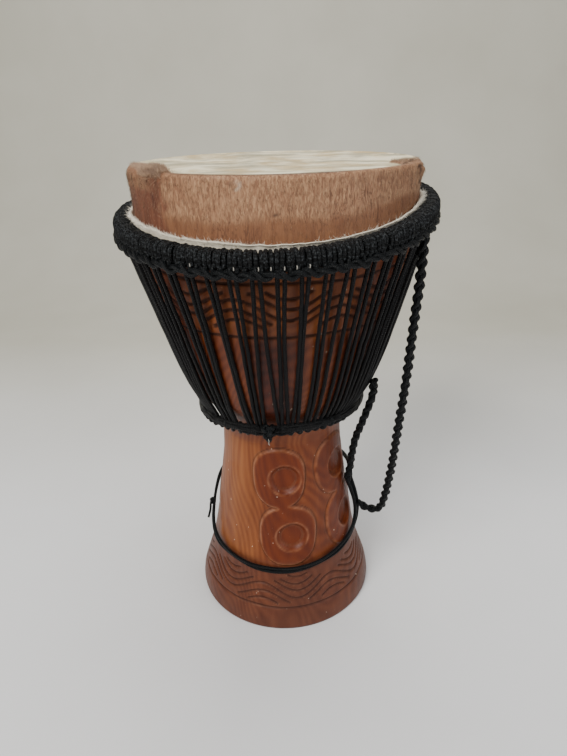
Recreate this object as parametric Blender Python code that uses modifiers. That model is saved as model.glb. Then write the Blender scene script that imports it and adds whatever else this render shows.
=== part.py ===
"""A rope-tuned goblet drum: a carved wooden goblet with a goatskin head, held by a wrapped crown ring.

One long rope zigzags between the crown ring and a lower ring, a cord is tied round the foot, and a
braided strap hangs at the right. Metres, +Z up, the origin at the middle of the foot's underside,
and the front of the drum towards -Y. Azimuths are in degrees from the front, positive towards +X.
"""

import math

import bmesh
import bpy
import numpy as np
from mathutils import Matrix, Vector

# Driving sizes of the wooden shell
STEM_HEIGHT = 0.270
BOWL_HEIGHT = 0.3285
FOOT_RADIUS = 0.1272
NECK_RADIUS = 0.0792
RIM_RADIUS = 0.1620
BOWL_WALL = 0.0130
RIM_WALL = 0.0150
STEM_BORE_RADIUS = 0.0520
FOOT_BORE_RADIUS = 0.1000
FOOT_BORE_DEPTH = 0.1200
THROAT_HEIGHT = 0.0300
BOWL_FLOOR_HEIGHT = 0.0750
RIM_ROUND = 0.0040
FOOT_ROUND = 0.0035

# The shell's outline, as shares: of the stem's height and of the flare from neck to foot, then of
# the bowl's height and of the flare from neck to rim
STEM_OUTLINE = ((0.067, 0.950), (0.267, 0.575), (0.489, 0.325), (0.844, 0.063), (1.0, 0.0))
BOWL_OUTLINE = (
    (0.055, 0.030), (0.091, 0.130), (0.201, 0.455), (0.310, 0.615), (0.456, 0.785), (0.640, 0.945),
)

# The ring line turned into the foot
GROOVE_WIDTH = 0.0034
GROOVE_DEPTH = 0.0016
FOOT_LINE_HEIGHT = 0.0330

# The wave that runs round the foot
FOOT_WAVES = 7
FOOT_WAVE_PHASE = -17.0
FOOT_WAVE_HEIGHT = 0.0546
FOOT_WAVE_SWING = 0.0096
FOOT_WAVE_GROOVE = 0.0018

# The carved figures on the stem: two rounded lobes, each with a sunk dish
FIGURE_AZIMUTHS = (0.0, 58.0, 180.0, 238.0)
FIGURE_RELIEF = 0.0028
FIGURE_ROOT = 0.0040
LOBE_POWER = 2.5
WAIST_HALF_WIDTH = 0.0125
UPPER_LOBE_PLACE = (-0.0050, 0.2210)
UPPER_LOBE_HALF_WIDTH = 0.0330
UPPER_LOBE_HALF_HEIGHT = 0.0410
LOWER_LOBE_PLACE = (0.0050, 0.1370)
LOWER_LOBE_HALF_WIDTH = 0.0370
LOWER_LOBE_HALF_HEIGHT = 0.0430
UPPER_DISH_PLACE = (0.0020, 0.2190)
LOWER_DISH_PLACE = (0.0098, 0.1356)
DISH_RADIUS = 0.0205
DISH_DEPTH = 0.0056
DISH_SLOPE = 0.0048

# The goatskin head, with the trimmed edge that stands up between collar and crown ring
SKIN_THICKNESS = 0.0012
SKIN_GAP = 0.0003
HEAD_ROUND = 0.0040
LIP_GAP = 0.0008
LIP_STAND = 0.0045

# The crown ring sits lower in front; the lower ring leans a little the other way
CROWN_HEIGHT = 0.5385
CROWN_TALL = 0.0246
CROWN_THICK = 0.0210
CROWN_LEAN_X = 1.4
CROWN_LEAN_Y = 4.7
LOWER_RING_HEIGHT = 0.3040
LOWER_RING_TALL = 0.0130
LOWER_RING_THICK = 0.0110
LOWER_LEAN_X = 2.0
LOWER_LEAN_Y = -2.0
FIT_GAP = 0.0003

# The tension rope
LOOPS = 48
ROPE_RADIUS = 0.0020
FIRST_LOOP = 1.2
PAIR_HALF_ANGLE = 1.15
ROPE_TOP_INSET = 0.0155
SPREAD_REACH = 9.0
# Where each run of the rope bends over the bowl, as shares of the bowl's height
ROPE_BENDS = (0.201, 0.456)
# Where the wood shows widest between the strands: azimuth, and how far the strands give way
WOOD_GAPS = (
    (-42.0, 1.2), (-26.0, 2.6), (-7.5, 2.4), (25.5, 0.9), (66.0, 1.6), (101.0, 2.2),
    (139.0, 1.4), (171.0, 2.4), (-79.0, 2.0), (-112.0, 1.3), (-149.0, 2.3),
)

# Knots and the cord tied round the foot
KNOT_RADIUS = 0.0052
KNOT_STATIONS = (0.55, 0.95, 0.8, 1.0, 0.5)
SIDE_KNOT_REACH = 0.0062
SIDE_KNOT_AZIMUTH = 63.8
SIDE_KNOT_RISE = 0.0370
TIE_RADIUS = 0.0021
TIE_CORD_STEP = 0.0046
# Azimuth, height and how far the cord stands off the wood: from the strap down, round the front of
# the foot, up behind the stem and back to the strap
TIE_ROUTE = (
    (69.5, 0.1860, 0.0035), (71.8, 0.1650, 0.0065), (73.4, 0.1420, 0.0085), (73.6, 0.1190, 0.0060),
    (68.5, 0.1035, 0.0015), (56.0, 0.0972, 0.0), (42.0, 0.0938, 0.0), (26.0, 0.0895, 0.0),
    (11.0, 0.0862, 0.0), (-2.0, 0.0846, 0.0), (-15.0, 0.0850, 0.0), (-28.0, 0.0868, 0.0),
    (-45.0, 0.0898, 0.0), (-60.0, 0.0935, 0.0005), (-71.0, 0.1015, 0.0020), (-78.0, 0.1150, 0.0030),
    (-84.0, 0.1330, 0.0025), (-92.0, 0.1480, 0.0008), (-106.0, 0.1590, 0.0), (-125.0, 0.1650, 0.0),
    (-150.0, 0.1690, 0.0), (-175.0, 0.1720, 0.0), (-200.0, 0.1750, 0.0), (-225.0, 0.1785, 0.0),
    (-250.0, 0.1835, 0.0), (-270.0, 0.1895, 0.0012), (-282.0, 0.1925, 0.0028),
)
# The knot at the tie's left and the tail that hangs from it, given in the same way
TAIL_ROUTE = (
    (-84.5, 0.1385, 0.0070), (-84.0, 0.1345, 0.0080), (-83.0, 0.1300, 0.0077),
    (-81.5, 0.1220, 0.0075), (-80.0, 0.1110, 0.0092),
)
TAIL_THICKNESS = (0.9, 1.5, 1.0, 0.75, 0.7)

# The braided strap, which hangs free from the crown ring and from the lower ring's side knot. Its
# two ends are joined to the foot's cord, so the routes stop just short of it.
STRAP_RADIUS = 0.0055
STRAP_TOP_PLACE = (0.1560, -0.0870)
STRAP_LONG_ROUTE = (
    (0.1558, -0.0868, 0.4980), (0.1550, -0.0860, 0.4700), (0.1535, -0.0840, 0.4380),
    (0.1525, -0.0810, 0.4050), (0.1515, -0.0780, 0.3700), (0.1500, -0.0740, 0.3330),
    (0.1480, -0.0700, 0.2980), (0.1462, -0.0655, 0.2600), (0.1448, -0.0600, 0.2240),
    (0.1422, -0.0545, 0.1900), (0.1390, -0.0495, 0.1600), (0.1325, -0.0450, 0.1385),
)
STRAP_SHORT_ROUTE = (
    (0.1135, -0.0560, 0.3180), (0.1085, -0.0540, 0.3000), (0.1025, -0.0505, 0.2780),
    (0.0972, -0.0465, 0.2580), (0.0938, -0.0430, 0.2340), (0.0918, -0.0395, 0.2080),
)
FRONT_KNOT_AZIMUTH = -7.8

# Mesh fineness
SHELL_SEGMENTS = 40
HEAD_SEGMENTS = SHELL_SEGMENTS
CROWN_SEGMENTS = SHELL_SEGMENTS
LOWER_RING_SEGMENTS = SHELL_SEGMENTS
LOBE_POINTS = 11
DISH_SEGMENTS = 14
WAVE_POINTS = 8
MERGE = 0.00001

SHELL_HEIGHT = STEM_HEIGHT + BOWL_HEIGHT
HEAD_HEIGHT = SHELL_HEIGHT + SKIN_GAP + SKIN_THICKNESS
COLLAR_RADIUS = RIM_RADIUS + SKIN_GAP + SKIN_THICKNESS
LIP_RADIUS = COLLAR_RADIUS + LIP_GAP + SKIN_THICKNESS
CROWN_INNER = LIP_RADIUS + FIT_GAP
CROWN_TOP = CROWN_HEIGHT + CROWN_TALL / 2
CROWN_BOTTOM = CROWN_HEIGHT - CROWN_TALL / 2


def outline_stations():
    """The shell's outer radius at each height that its outline needs, from the foot up."""
    flare = FOOT_RADIUS - NECK_RADIUS
    spread = RIM_RADIUS - NECK_RADIUS
    stations = [(FOOT_ROUND, FOOT_RADIUS)]
    stations += [(h * STEM_HEIGHT, NECK_RADIUS + r * flare) for h, r in STEM_OUTLINE]
    stations += [(STEM_HEIGHT + h * BOWL_HEIGHT, NECK_RADIUS + r * spread) for h, r in BOWL_OUTLINE]
    stations.append((SHELL_HEIGHT - RIM_ROUND, RIM_RADIUS))
    return stations


def shell_radius(height):
    heights, radii = zip(*outline_stations())
    return float(np.interp(height, heights, radii))


def crown_lift(x, y):
    """How far the leaning crown ring stands above or below its middle height."""
    return math.tan(math.radians(CROWN_LEAN_X)) * x + math.tan(math.radians(CROWN_LEAN_Y)) * y


def lower_lift(x, y):
    return math.tan(math.radians(LOWER_LEAN_X)) * x + math.tan(math.radians(LOWER_LEAN_Y)) * y


def around(azimuth, radius, height):
    """The point at an azimuth in degrees from the drum's front."""
    turn = math.radians(azimuth)
    return Vector((radius * math.sin(turn), -radius * math.cos(turn), height))


def clear_scene():
    for obj in list(bpy.data.objects):
        bpy.data.objects.remove(obj, do_unlink=True)


def new_collection(name):
    collection = bpy.data.collections.new(name)
    bpy.context.scene.collection.children.link(collection)
    return collection


def new_material(name, color, roughness):
    material = bpy.data.materials.new(name)
    material.use_nodes = True
    shader = material.node_tree.nodes["Principled BSDF"]
    shader.inputs["Base Color"].default_value = (*color, 1.0)
    shader.inputs["Roughness"].default_value = roughness
    shader.inputs["Metallic"].default_value = 0.0
    return material


def add_object(name, data, collection, material):
    obj = bpy.data.objects.new(name, data)
    collection.objects.link(obj)
    if material:
        data.materials.append(material)
    return obj


def as_cutter(obj):
    obj.hide_render = True
    obj.display_type = "WIRE"
    return obj


def turned(name, profile, segments, collection, material):
    """A closed profile of (radius, height) points, turned round +Z with a Screw."""
    mesh = bpy.data.meshes.new(name)
    bm = bmesh.new()
    points = [bm.verts.new((radius, 0.0, height)) for radius, height in profile]
    on_axis = profile[0][0] == 0.0 and profile[-1][0] == 0.0
    for start, end in zip(points, points[1:] if on_axis else points[1:] + points[:1]):
        bm.edges.new((start, end))
    bm.to_mesh(mesh)
    bm.free()
    obj = add_object(name, mesh, collection, material)
    screw = obj.modifiers.new("Turn", "SCREW")
    screw.axis = "Z"
    screw.steps = segments
    screw.render_steps = segments
    screw.use_merge_vertices = True
    screw.merge_threshold = MERGE
    screw.use_smooth_shade = False
    return obj


def boolean(obj, other, operation):
    cut = obj.modifiers.new(other.name, "BOOLEAN")
    cut.operation = operation
    cut.solver = "EXACT"
    cut.object = other


def to_mesh(obj):
    """Turns an object's evaluated shape into its plain mesh, its loose caps welded."""
    graph = bpy.context.evaluated_depsgraph_get()
    mesh = bpy.data.meshes.new_from_object(obj.evaluated_get(graph))
    bm = bmesh.new()
    bm.from_mesh(mesh)
    bmesh.ops.remove_doubles(bm, verts=bm.verts, dist=MERGE)
    bm.to_mesh(mesh)
    bm.free()
    solid = bpy.data.objects.new(obj.name, mesh)
    solid.matrix_world = obj.matrix_world
    for collection in obj.users_collection:
        collection.objects.link(solid)
    name = obj.name
    bpy.data.objects.remove(obj, do_unlink=True)
    solid.name = name
    return solid


def lifted(obj, lift):
    """Leans a turned piece by raising each point by lift(x, y, z), which keeps its radii."""
    obj = to_mesh(obj)
    for vertex in obj.data.vertices:
        vertex.co.z += lift(vertex.co.x, vertex.co.y, vertex.co.z)
    return obj


def tube(name, points, radius, sides, collection, material, closed=False, swell=None):
    """A tube of an even number of sides along the points, its radius times swell at each."""
    curve = bpy.data.curves.new(name, "CURVE")
    curve.dimensions = "3D"
    curve.bevel_depth = radius
    curve.bevel_resolution = sides // 2 - 2
    curve.use_fill_caps = not closed
    spline = curve.splines.new("POLY")
    spline.points.add(len(points) - 1)
    for index, point in enumerate(points):
        spline.points[index].co = (*point, 1.0)
        spline.points[index].radius = swell[index] if swell else 1.0
    spline.use_cyclic_u = closed
    return add_object(name, curve, collection, material)


def smooth_through(points, count):
    """Evenly spaced points on a smooth curve through the given ones (a Catmull-Rom spline)."""
    points = [Vector(point) for point in points]
    ends = [2 * points[0] - points[1]] + points + [2 * points[-1] - points[-2]]
    fine = []
    for a, b, c, d in zip(ends, ends[1:], ends[2:], ends[3:]):
        for step in range(8):
            t = step / 8
            fine.append(
                0.5 * (2 * b + (c - a) * t + (2 * a - 5 * b + 4 * c - d) * t**2
                       + (3 * b - a - 3 * c + d) * t**3)
            )
    fine.append(points[-1])
    runs = np.cumsum([0.0] + [(b - a).length for a, b in zip(fine, fine[1:])])
    wanted = np.linspace(0.0, runs[-1], count)
    return [Vector([float(np.interp(w, runs, [p[i] for p in fine])) for i in range(3)]) for w in wanted]


def grooved(stations, height):
    """The outline with a V groove let in at this height."""
    half = GROOVE_WIDTH / 2
    kept = [station for station in stations if abs(station[0] - height) > half]
    kept.append((height - half, shell_radius(height - half)))
    kept.append((height, shell_radius(height) - GROOVE_DEPTH))
    kept.append((height + half, shell_radius(height + half)))
    return sorted(kept)


def inner_outline():
    """The hollow, from the rim down: the bowl, the throat, the stem's bore and the flared foot."""
    floor = STEM_HEIGHT + BOWL_FLOOR_HEIGHT
    heights = [h for h, _ in outline_stations() if floor < h < SHELL_HEIGHT - RIM_ROUND]
    hollow = [(RIM_RADIUS - RIM_WALL, SHELL_HEIGHT - RIM_ROUND)]
    hollow += [(shell_radius(h) - BOWL_WALL, h) for h in reversed(heights)]
    hollow.append((shell_radius(floor) - BOWL_WALL, floor))
    hollow.append((STEM_BORE_RADIUS, STEM_HEIGHT + THROAT_HEIGHT))
    hollow.append((STEM_BORE_RADIUS, FOOT_BORE_DEPTH))
    widening = FOOT_BORE_RADIUS - STEM_BORE_RADIUS
    hollow.append((STEM_BORE_RADIUS + widening / 4, FOOT_BORE_DEPTH / 2))
    hollow.append((FOOT_BORE_RADIUS, 0.0))
    return hollow


def shell_profile():
    outer = grooved(outline_stations(), FOOT_LINE_HEIGHT)
    profile = [(RIM_RADIUS - RIM_ROUND, SHELL_HEIGHT)]
    profile += [(radius, height) for height, radius in reversed(outer)]
    profile.append((FOOT_RADIUS - FOOT_ROUND, 0.0))
    profile += list(reversed(inner_outline()))
    profile.append((RIM_RADIUS - RIM_WALL + RIM_ROUND, SHELL_HEIGHT))
    return profile


def lobe_arc(place, half_width, half_height, start, end):
    """Points along a rounded-square lobe from one angle to the other, in the stem's front plane."""
    arc = []
    for angle in np.linspace(math.radians(start), math.radians(end), LOBE_POINTS):
        across = math.copysign(abs(math.cos(angle)) ** (2 / LOBE_POWER), math.cos(angle))
        up = math.copysign(abs(math.sin(angle)) ** (2 / LOBE_POWER), math.sin(angle))
        arc.append((place[0] + half_width * across, place[1] + half_height * up))
    return arc


def figure_outline():
    """The eight's outline: round the upper lobe, across the waist and round the lower lobe."""
    upper_open = math.degrees(math.asin((WAIST_HALF_WIDTH / UPPER_LOBE_HALF_WIDTH) ** (LOBE_POWER / 2)))
    lower_open = math.degrees(math.asin((WAIST_HALF_WIDTH / LOWER_LOBE_HALF_WIDTH) ** (LOBE_POWER / 2)))
    upper = lobe_arc(
        UPPER_LOBE_PLACE, UPPER_LOBE_HALF_WIDTH, UPPER_LOBE_HALF_HEIGHT, upper_open - 90, 270 - upper_open
    )
    lower = lobe_arc(
        LOWER_LOBE_PLACE, LOWER_LOBE_HALF_WIDTH, LOWER_LOBE_HALF_HEIGHT, 90 + lower_open, 450 - lower_open
    )
    return upper + lower


def figure_prisms(collection):
    """The figures' outlines as prisms that reach from inside the wood out past the relief."""
    mesh = bpy.data.meshes.new("figure_outlines")
    bm = bmesh.new()
    for azimuth in FIGURE_AZIMUTHS:
        face = bm.faces.new([bm.verts.new((x, -STEM_BORE_RADIUS, z)) for x, z in figure_outline()])
        grown = bmesh.ops.extrude_face_region(bm, geom=[face])["geom"]
        moved = [item for item in grown if isinstance(item, bmesh.types.BMVert)]
        bmesh.ops.translate(bm, verts=moved, vec=(0.0, -FOOT_RADIUS, 0.0))
        turn = Matrix.Rotation(math.radians(azimuth), 3, "Z")
        bmesh.ops.rotate(bm, verts=list(face.verts) + moved, cent=(0, 0, 0), matrix=turn)
    bmesh.ops.recalc_face_normals(bm, faces=bm.faces)
    bm.to_mesh(mesh)
    bm.free()
    return as_cutter(add_object("figure_outlines", mesh, collection, None))


def figure_relief(collection):
    """The raised figures, cut from a sleeve that follows the stem, ready to be joined to the shell."""
    low = LOWER_LOBE_PLACE[1] - LOWER_LOBE_HALF_HEIGHT - FIGURE_RELIEF
    high = UPPER_LOBE_PLACE[1] + UPPER_LOBE_HALF_HEIGHT + FIGURE_RELIEF
    between = [h for h, _ in outline_stations() if low < h < high]
    heights = [high] + sorted(between, reverse=True) + [low]
    sleeve = [(shell_radius(h) + FIGURE_RELIEF, h) for h in heights]
    sleeve += [(shell_radius(h) - FIGURE_ROOT, h) for h in reversed(heights)]
    relief = turned("figure_relief", sleeve, SHELL_SEGMENTS, collection, None)
    boolean(relief, figure_prisms(collection), "INTERSECT")
    return as_cutter(relief)


def dish_cutters(collection):
    """A sloping-sided disc for each lobe's dish, square to the stem's own slope."""
    mesh = bpy.data.meshes.new("dishes")
    bm = bmesh.new()
    for azimuth in FIGURE_AZIMUTHS:
        for across, height in (UPPER_DISH_PLACE, LOWER_DISH_PLACE):
            surface = math.sqrt((shell_radius(height) + FIGURE_RELIEF) ** 2 - across**2)
            fall = shell_radius(height - DISH_RADIUS) - shell_radius(height + DISH_RADIUS)
            lean = Matrix.Rotation(math.radians(90) - math.atan2(fall, 2 * DISH_RADIUS), 4, "X")
            place = Matrix.Translation((across, -surface, height))
            turn = Matrix.Rotation(math.radians(azimuth), 4, "Z")
            bmesh.ops.create_cone(
                bm,
                cap_ends=True,
                segments=DISH_SEGMENTS,
                radius1=DISH_RADIUS - DISH_SLOPE,
                radius2=DISH_RADIUS + DISH_SLOPE,
                depth=2 * DISH_DEPTH,
                matrix=turn @ place @ lean,
            )
    bm.to_mesh(mesh)
    bm.free()
    return as_cutter(add_object("dishes", mesh, collection, None))


def foot_wave_cutter(collection):
    """The wave round the foot, as a closed tube half sunk in the wood."""
    points = []
    for step in range(FOOT_WAVES * WAVE_POINTS):
        azimuth = 360.0 * step / (FOOT_WAVES * WAVE_POINTS)
        swing = math.cos(math.radians(FOOT_WAVES * (azimuth - FOOT_WAVE_PHASE)))
        height = FOOT_WAVE_HEIGHT + FOOT_WAVE_SWING * swing
        points.append(around(azimuth, shell_radius(height), height))
    wave = tube("foot_wave", points, FOOT_WAVE_GROOVE, 4, collection, None, closed=True)
    return as_cutter(to_mesh(wave))


def make_shell(parts, cutters, wood):
    shell = turned("drum_shell", shell_profile(), SHELL_SEGMENTS, parts, wood)
    boolean(shell, figure_relief(cutters), "UNION")
    boolean(shell, dish_cutters(cutters), "DIFFERENCE")
    boolean(shell, foot_wave_cutter(cutters), "DIFFERENCE")


def head_profile():
    """The skin from the middle over the rim, down to the crown ring, and up again as the lip."""
    turn_up = CROWN_BOTTOM + SKIN_THICKNESS
    lip_top = CROWN_TOP + LIP_STAND
    inside = COLLAR_RADIUS - SKIN_THICKNESS
    return [
        (0.0, HEAD_HEIGHT),
        (COLLAR_RADIUS - HEAD_ROUND, HEAD_HEIGHT),
        (COLLAR_RADIUS, HEAD_HEIGHT - HEAD_ROUND),
        (COLLAR_RADIUS, turn_up),
        (COLLAR_RADIUS + LIP_GAP, turn_up),
        (COLLAR_RADIUS + LIP_GAP, lip_top),
        (LIP_RADIUS, lip_top),
        (LIP_RADIUS, CROWN_BOTTOM),
        (inside, CROWN_BOTTOM),
        (inside, HEAD_HEIGHT - HEAD_ROUND),
        (inside - HEAD_ROUND, HEAD_HEIGHT - SKIN_THICKNESS),
        (0.0, HEAD_HEIGHT - SKIN_THICKNESS),
    ]


def make_head(parts, hide):
    level = HEAD_HEIGHT - HEAD_ROUND
    lip_top = CROWN_TOP + LIP_STAND

    def lean(x, y, z):
        return crown_lift(x, y) * min(1.0, max(0.0, (level - z) / (level - lip_top)))

    head = turned("goatskin_head", head_profile(), HEAD_SEGMENTS, parts, hide)
    lifted(head, lean)


def band_profile(inner, thick, middle, tall, corner):
    """A band's section with cut corners, from its top outer corner down and back up inside."""
    outer = inner + thick
    top, bottom = middle + tall / 2, middle - tall / 2
    return [
        (outer - corner, top),
        (outer, top - corner),
        (outer, bottom + corner),
        (outer - corner, bottom),
        (inner, bottom),
        (inner, top),
    ]


def make_crown_ring(parts, rope):
    corner = CROWN_THICK * 0.35
    profile = band_profile(CROWN_INNER, CROWN_THICK, CROWN_HEIGHT, CROWN_TALL, corner)
    ring = turned("crown_ring", profile, CROWN_SEGMENTS, parts, rope)
    lifted(ring, lambda x, y, z: crown_lift(x, y))


def lower_ring_inner():
    """The ring is pulled up until the swelling bowl stops it."""
    lean = math.hypot(math.tan(math.radians(LOWER_LEAN_X)), math.tan(math.radians(LOWER_LEAN_Y)))
    top = LOWER_RING_HEIGHT + LOWER_RING_TALL / 2
    return shell_radius(top + lean * shell_radius(top)) + FIT_GAP


def make_lower_ring(parts, rope):
    corner = LOWER_RING_THICK * 0.3
    profile = band_profile(lower_ring_inner(), LOWER_RING_THICK, LOWER_RING_HEIGHT, LOWER_RING_TALL, corner)
    ring = turned("lower_ring", profile, LOWER_RING_SEGMENTS, parts, rope)
    lifted(ring, lambda x, y, z: lower_lift(x, y))


def given_way(azimuth):
    """Where a strand reaches the lower ring, once the strands have bunched beside the wide gaps."""
    moved = azimuth
    for centre, give in WOOD_GAPS:
        offset = (azimuth - centre + 180.0) % 360.0 - 180.0
        moved += math.copysign(give, offset) * math.exp(-abs(offset) / SPREAD_REACH)
    return moved


def over_bowl(height, clear):
    """The radius of a line that runs down the bowl, its middle this far off the wood."""
    step = 0.002
    slope = (shell_radius(height + step) - shell_radius(height - step)) / (2 * step)
    return shell_radius(height) + clear * math.hypot(1.0, slope)


def taut(low, top, clear):
    """The (radius, height) corners of a rope pulled over the bowl, its bends eased out to clear the wood."""
    stations = [h for h, _ in outline_stations() if low[1] < h < top[1]]
    bends = [STEM_HEIGHT + share * BOWL_HEIGHT for share in ROPE_BENDS]
    bends = [height for height in bends if low[1] < height < top[1]]
    for ease in range(60):
        line = [low] + [(over_bowl(h, clear + ease * 0.0001), h) for h in bends] + [top]
        radii, heights = zip(*line)
        if all(np.interp(h, heights, radii) >= over_bowl(h, clear) for h in stations):
            break
    return line


def strand(number):
    """One run of the tension rope from the crown ring down to the lower ring, resting on the bowl."""
    loop, side = divmod(number, 2)
    pair = FIRST_LOOP + 360.0 * loop / LOOPS
    sign = 1 if side else -1
    top_azimuth = pair + sign * PAIR_HALF_ANGLE
    low_azimuth = given_way(pair + sign * 360.0 / LOOPS / 4)
    clear = ROPE_RADIUS + FIT_GAP
    top_radius = CROWN_INNER + CROWN_THICK - ROPE_TOP_INSET
    rough_top = around(top_azimuth, top_radius, 0.0)
    top = CROWN_BOTTOM + crown_lift(rough_top.x, rough_top.y) - clear
    low_radius = lower_ring_inner() + LOWER_RING_THICK / 2
    rough_low = around(low_azimuth, low_radius, 0.0)
    low = LOWER_RING_HEIGHT + LOWER_RING_TALL / 2 + lower_lift(rough_low.x, rough_low.y) + clear
    points = []
    for radius, height in taut((low_radius, low), (top_radius, top), clear + FIT_GAP):
        share = (height - low) / (top - low)
        points.append(around(low_azimuth + (top_azimuth - low_azimuth) * share, radius, height))
    return points


def make_tension_rope(parts, rope):
    points = []
    for number in range(2 * LOOPS):
        run = strand(number)
        points += run[::-1] if number % 2 else run
    tube("tension_rope", points, ROPE_RADIUS, 4, parts, rope, closed=True)


def tie_point(azimuth, height, stand_off):
    """A point of the foot's cord, which rides over the figures where it reaches them."""
    figures_foot = LOWER_LOBE_PLACE[1] - LOWER_LOBE_HALF_HEIGHT
    over = min(1.0, max(0.0, (height + TIE_RADIUS - figures_foot) / TIE_RADIUS + 1.0))
    radius = shell_radius(height) + TIE_RADIUS + 3 * FIT_GAP + stand_off + over * FIGURE_RELIEF
    return around(azimuth, radius, height)


def tie_turn(turn):
    """One turn of the cord along its route: turn 0, or turn 1 laid beside it."""
    run = []
    last = len(TIE_ROUTE) - 1
    for index, (azimuth, height, stand_off) in enumerate(TIE_ROUTE):
        before = TIE_ROUTE[max(0, index - 1)]
        after = TIE_ROUTE[min(last, index + 1)]
        radius = shell_radius(height)
        along = math.radians(after[0] - before[0]) * radius
        rise = after[1] - before[1]
        step = turn * TIE_CORD_STEP / math.hypot(along, rise)
        run.append(tie_point(azimuth + math.degrees(rise * step / radius), height - along * step, stand_off))
    return run


def make_foot_tie(parts, rope):
    """Two turns of cord in one length, from the strap round the front and back behind the stem."""
    tube("foot_tie", smooth_through(tie_turn(1) + tie_turn(0), 76), TIE_RADIUS, 4, parts, rope)


def side_knot_middle():
    """The side knot sits on the tension rope, a little above the lower ring."""
    height = LOWER_RING_HEIGHT + SIDE_KNOT_RISE
    radius = over_bowl(height, 2 * ROPE_RADIUS + 3 * FIT_GAP + KNOT_RADIUS)
    return around(SIDE_KNOT_AZIMUTH, radius, height)


def make_knots(parts, rope):
    front_radius = lower_ring_inner() + LOWER_RING_THICK + KNOT_RADIUS + FIT_GAP
    reach = KNOT_RADIUS * 1.5
    front = around(FRONT_KNOT_AZIMUTH, front_radius, LOWER_RING_HEIGHT)
    lift = lower_lift(front.x, front.y)
    spine = [front + Vector((0, 0, lift + reach * k)) for k in (1.0, 0.5, 0.0, -0.5, -1.0)]
    tube("front_knot", spine, KNOT_RADIUS, 6, parts, rope, swell=KNOT_STATIONS)
    side = side_knot_middle()
    spine = [side + Vector((0, 0, SIDE_KNOT_REACH * k)) for k in (1.0, 0.5, 0.0, -0.5, -1.0)]
    tube("side_knot", spine, KNOT_RADIUS, 6, parts, rope, swell=KNOT_STATIONS)
    tail = [tie_point(*stop) for stop in TAIL_ROUTE]
    tube("foot_knot", tail, TIE_RADIUS, 6, parts, rope, swell=TAIL_THICKNESS)


def make_strap(parts, rope):
    """Both lengths of the strap start under what they hang from and end at the foot's cord."""
    x, y = STRAP_TOP_PLACE
    top = Vector((x, y, CROWN_BOTTOM + crown_lift(x, y) - 3 * FIT_GAP))
    _, _, joined, *_ = tie_turn(0)
    outward = Vector((joined.x, joined.y, 0.0)).normalized()
    below = joined + outward * 0.0130 + Vector((0, 0, -0.0070))
    end = joined + outward * (TIE_RADIUS + 3 * FIT_GAP)
    route = smooth_through([top, *STRAP_LONG_ROUTE, below, end], 26)
    swell = [1.0] * 25 + [0.5]
    tube("strap_long", route, STRAP_RADIUS, 8, parts, rope, swell=swell)
    top = side_knot_middle() + Vector((0, 0, -SIDE_KNOT_REACH - 2 * FIT_GAP))
    start, *_ = tie_turn(1)
    end = start + Vector((0, 0, 3 * FIT_GAP))
    route = smooth_through([top, *STRAP_SHORT_ROUTE, end], 9)
    swell = [0.7] + [1.0] * 7 + [0.5]
    tube("strap_short", route, STRAP_RADIUS, 8, parts, rope, swell=swell)


def main():
    clear_scene()
    parts = new_collection("goblet_drum")
    cutters = new_collection("cutters")
    wood = new_material("carved_wood", (0.27, 0.105, 0.045), 0.5)
    hide = new_material("goatskin", (0.60, 0.45, 0.33), 0.7)
    rope = new_material("black_rope", (0.012, 0.013, 0.016), 0.75)
    make_shell(parts, cutters, wood)
    make_head(parts, hide)
    make_crown_ring(parts, rope)
    make_lower_ring(parts, rope)
    make_tension_rope(parts, rope)
    make_foot_tie(parts, rope)
    make_knots(parts, rope)
    make_strap(parts, rope)
    cutters.hide_render = True


main()
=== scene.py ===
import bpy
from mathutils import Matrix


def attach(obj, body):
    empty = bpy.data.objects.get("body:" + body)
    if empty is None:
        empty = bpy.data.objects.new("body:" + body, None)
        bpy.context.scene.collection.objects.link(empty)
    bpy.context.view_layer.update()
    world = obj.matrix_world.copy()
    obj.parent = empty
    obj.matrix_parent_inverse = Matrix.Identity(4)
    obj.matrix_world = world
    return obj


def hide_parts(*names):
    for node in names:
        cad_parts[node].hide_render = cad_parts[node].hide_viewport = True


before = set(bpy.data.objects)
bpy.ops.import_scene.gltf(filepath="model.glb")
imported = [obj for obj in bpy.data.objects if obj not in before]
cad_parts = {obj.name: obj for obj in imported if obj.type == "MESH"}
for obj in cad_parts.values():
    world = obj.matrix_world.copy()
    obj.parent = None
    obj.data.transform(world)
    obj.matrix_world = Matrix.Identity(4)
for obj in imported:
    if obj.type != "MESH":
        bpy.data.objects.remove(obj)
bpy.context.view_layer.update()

# The looks of the rope-tuned goblet drum. Metres, +Z up, the front towards -Y. Azimuths are in
# degrees from the front, positive towards +X.

import math

import bpy
import numpy as np
from mathutils import Matrix, Vector

# The drum's sizes, as in the part's source
STEM_HEIGHT = 0.270
BOWL_HEIGHT = 0.3285
FOOT_RADIUS = 0.1272
NECK_RADIUS = 0.0792
RIM_RADIUS = 0.1620
BOWL_WALL = 0.0130
RIM_WALL = 0.0150
STEM_BORE_RADIUS = 0.0520
FOOT_BORE_RADIUS = 0.1000
FOOT_BORE_DEPTH = 0.1200
THROAT_HEIGHT = 0.0300
BOWL_FLOOR_HEIGHT = 0.0750
RIM_ROUND = 0.0040
FOOT_ROUND = 0.0035
STEM_OUTLINE = (
    (0.067, 0.950), (0.111, 0.870), (0.175, 0.750), (0.267, 0.575), (0.378, 0.438),
    (0.489, 0.325), (0.667, 0.200), (0.844, 0.063), (1.0, 0.0),
)
BOWL_OUTLINE = (
    (0.055, 0.030), (0.091, 0.130), (0.146, 0.275), (0.201, 0.455), (0.310, 0.615),
    (0.456, 0.785), (0.640, 0.945), (0.767, 0.985),
)
SKIN_THICKNESS = 0.0012
SKIN_GAP = 0.0003
LIP_GAP = 0.0008
CROWN_HEIGHT = 0.5385
CROWN_TALL = 0.0246
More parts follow.
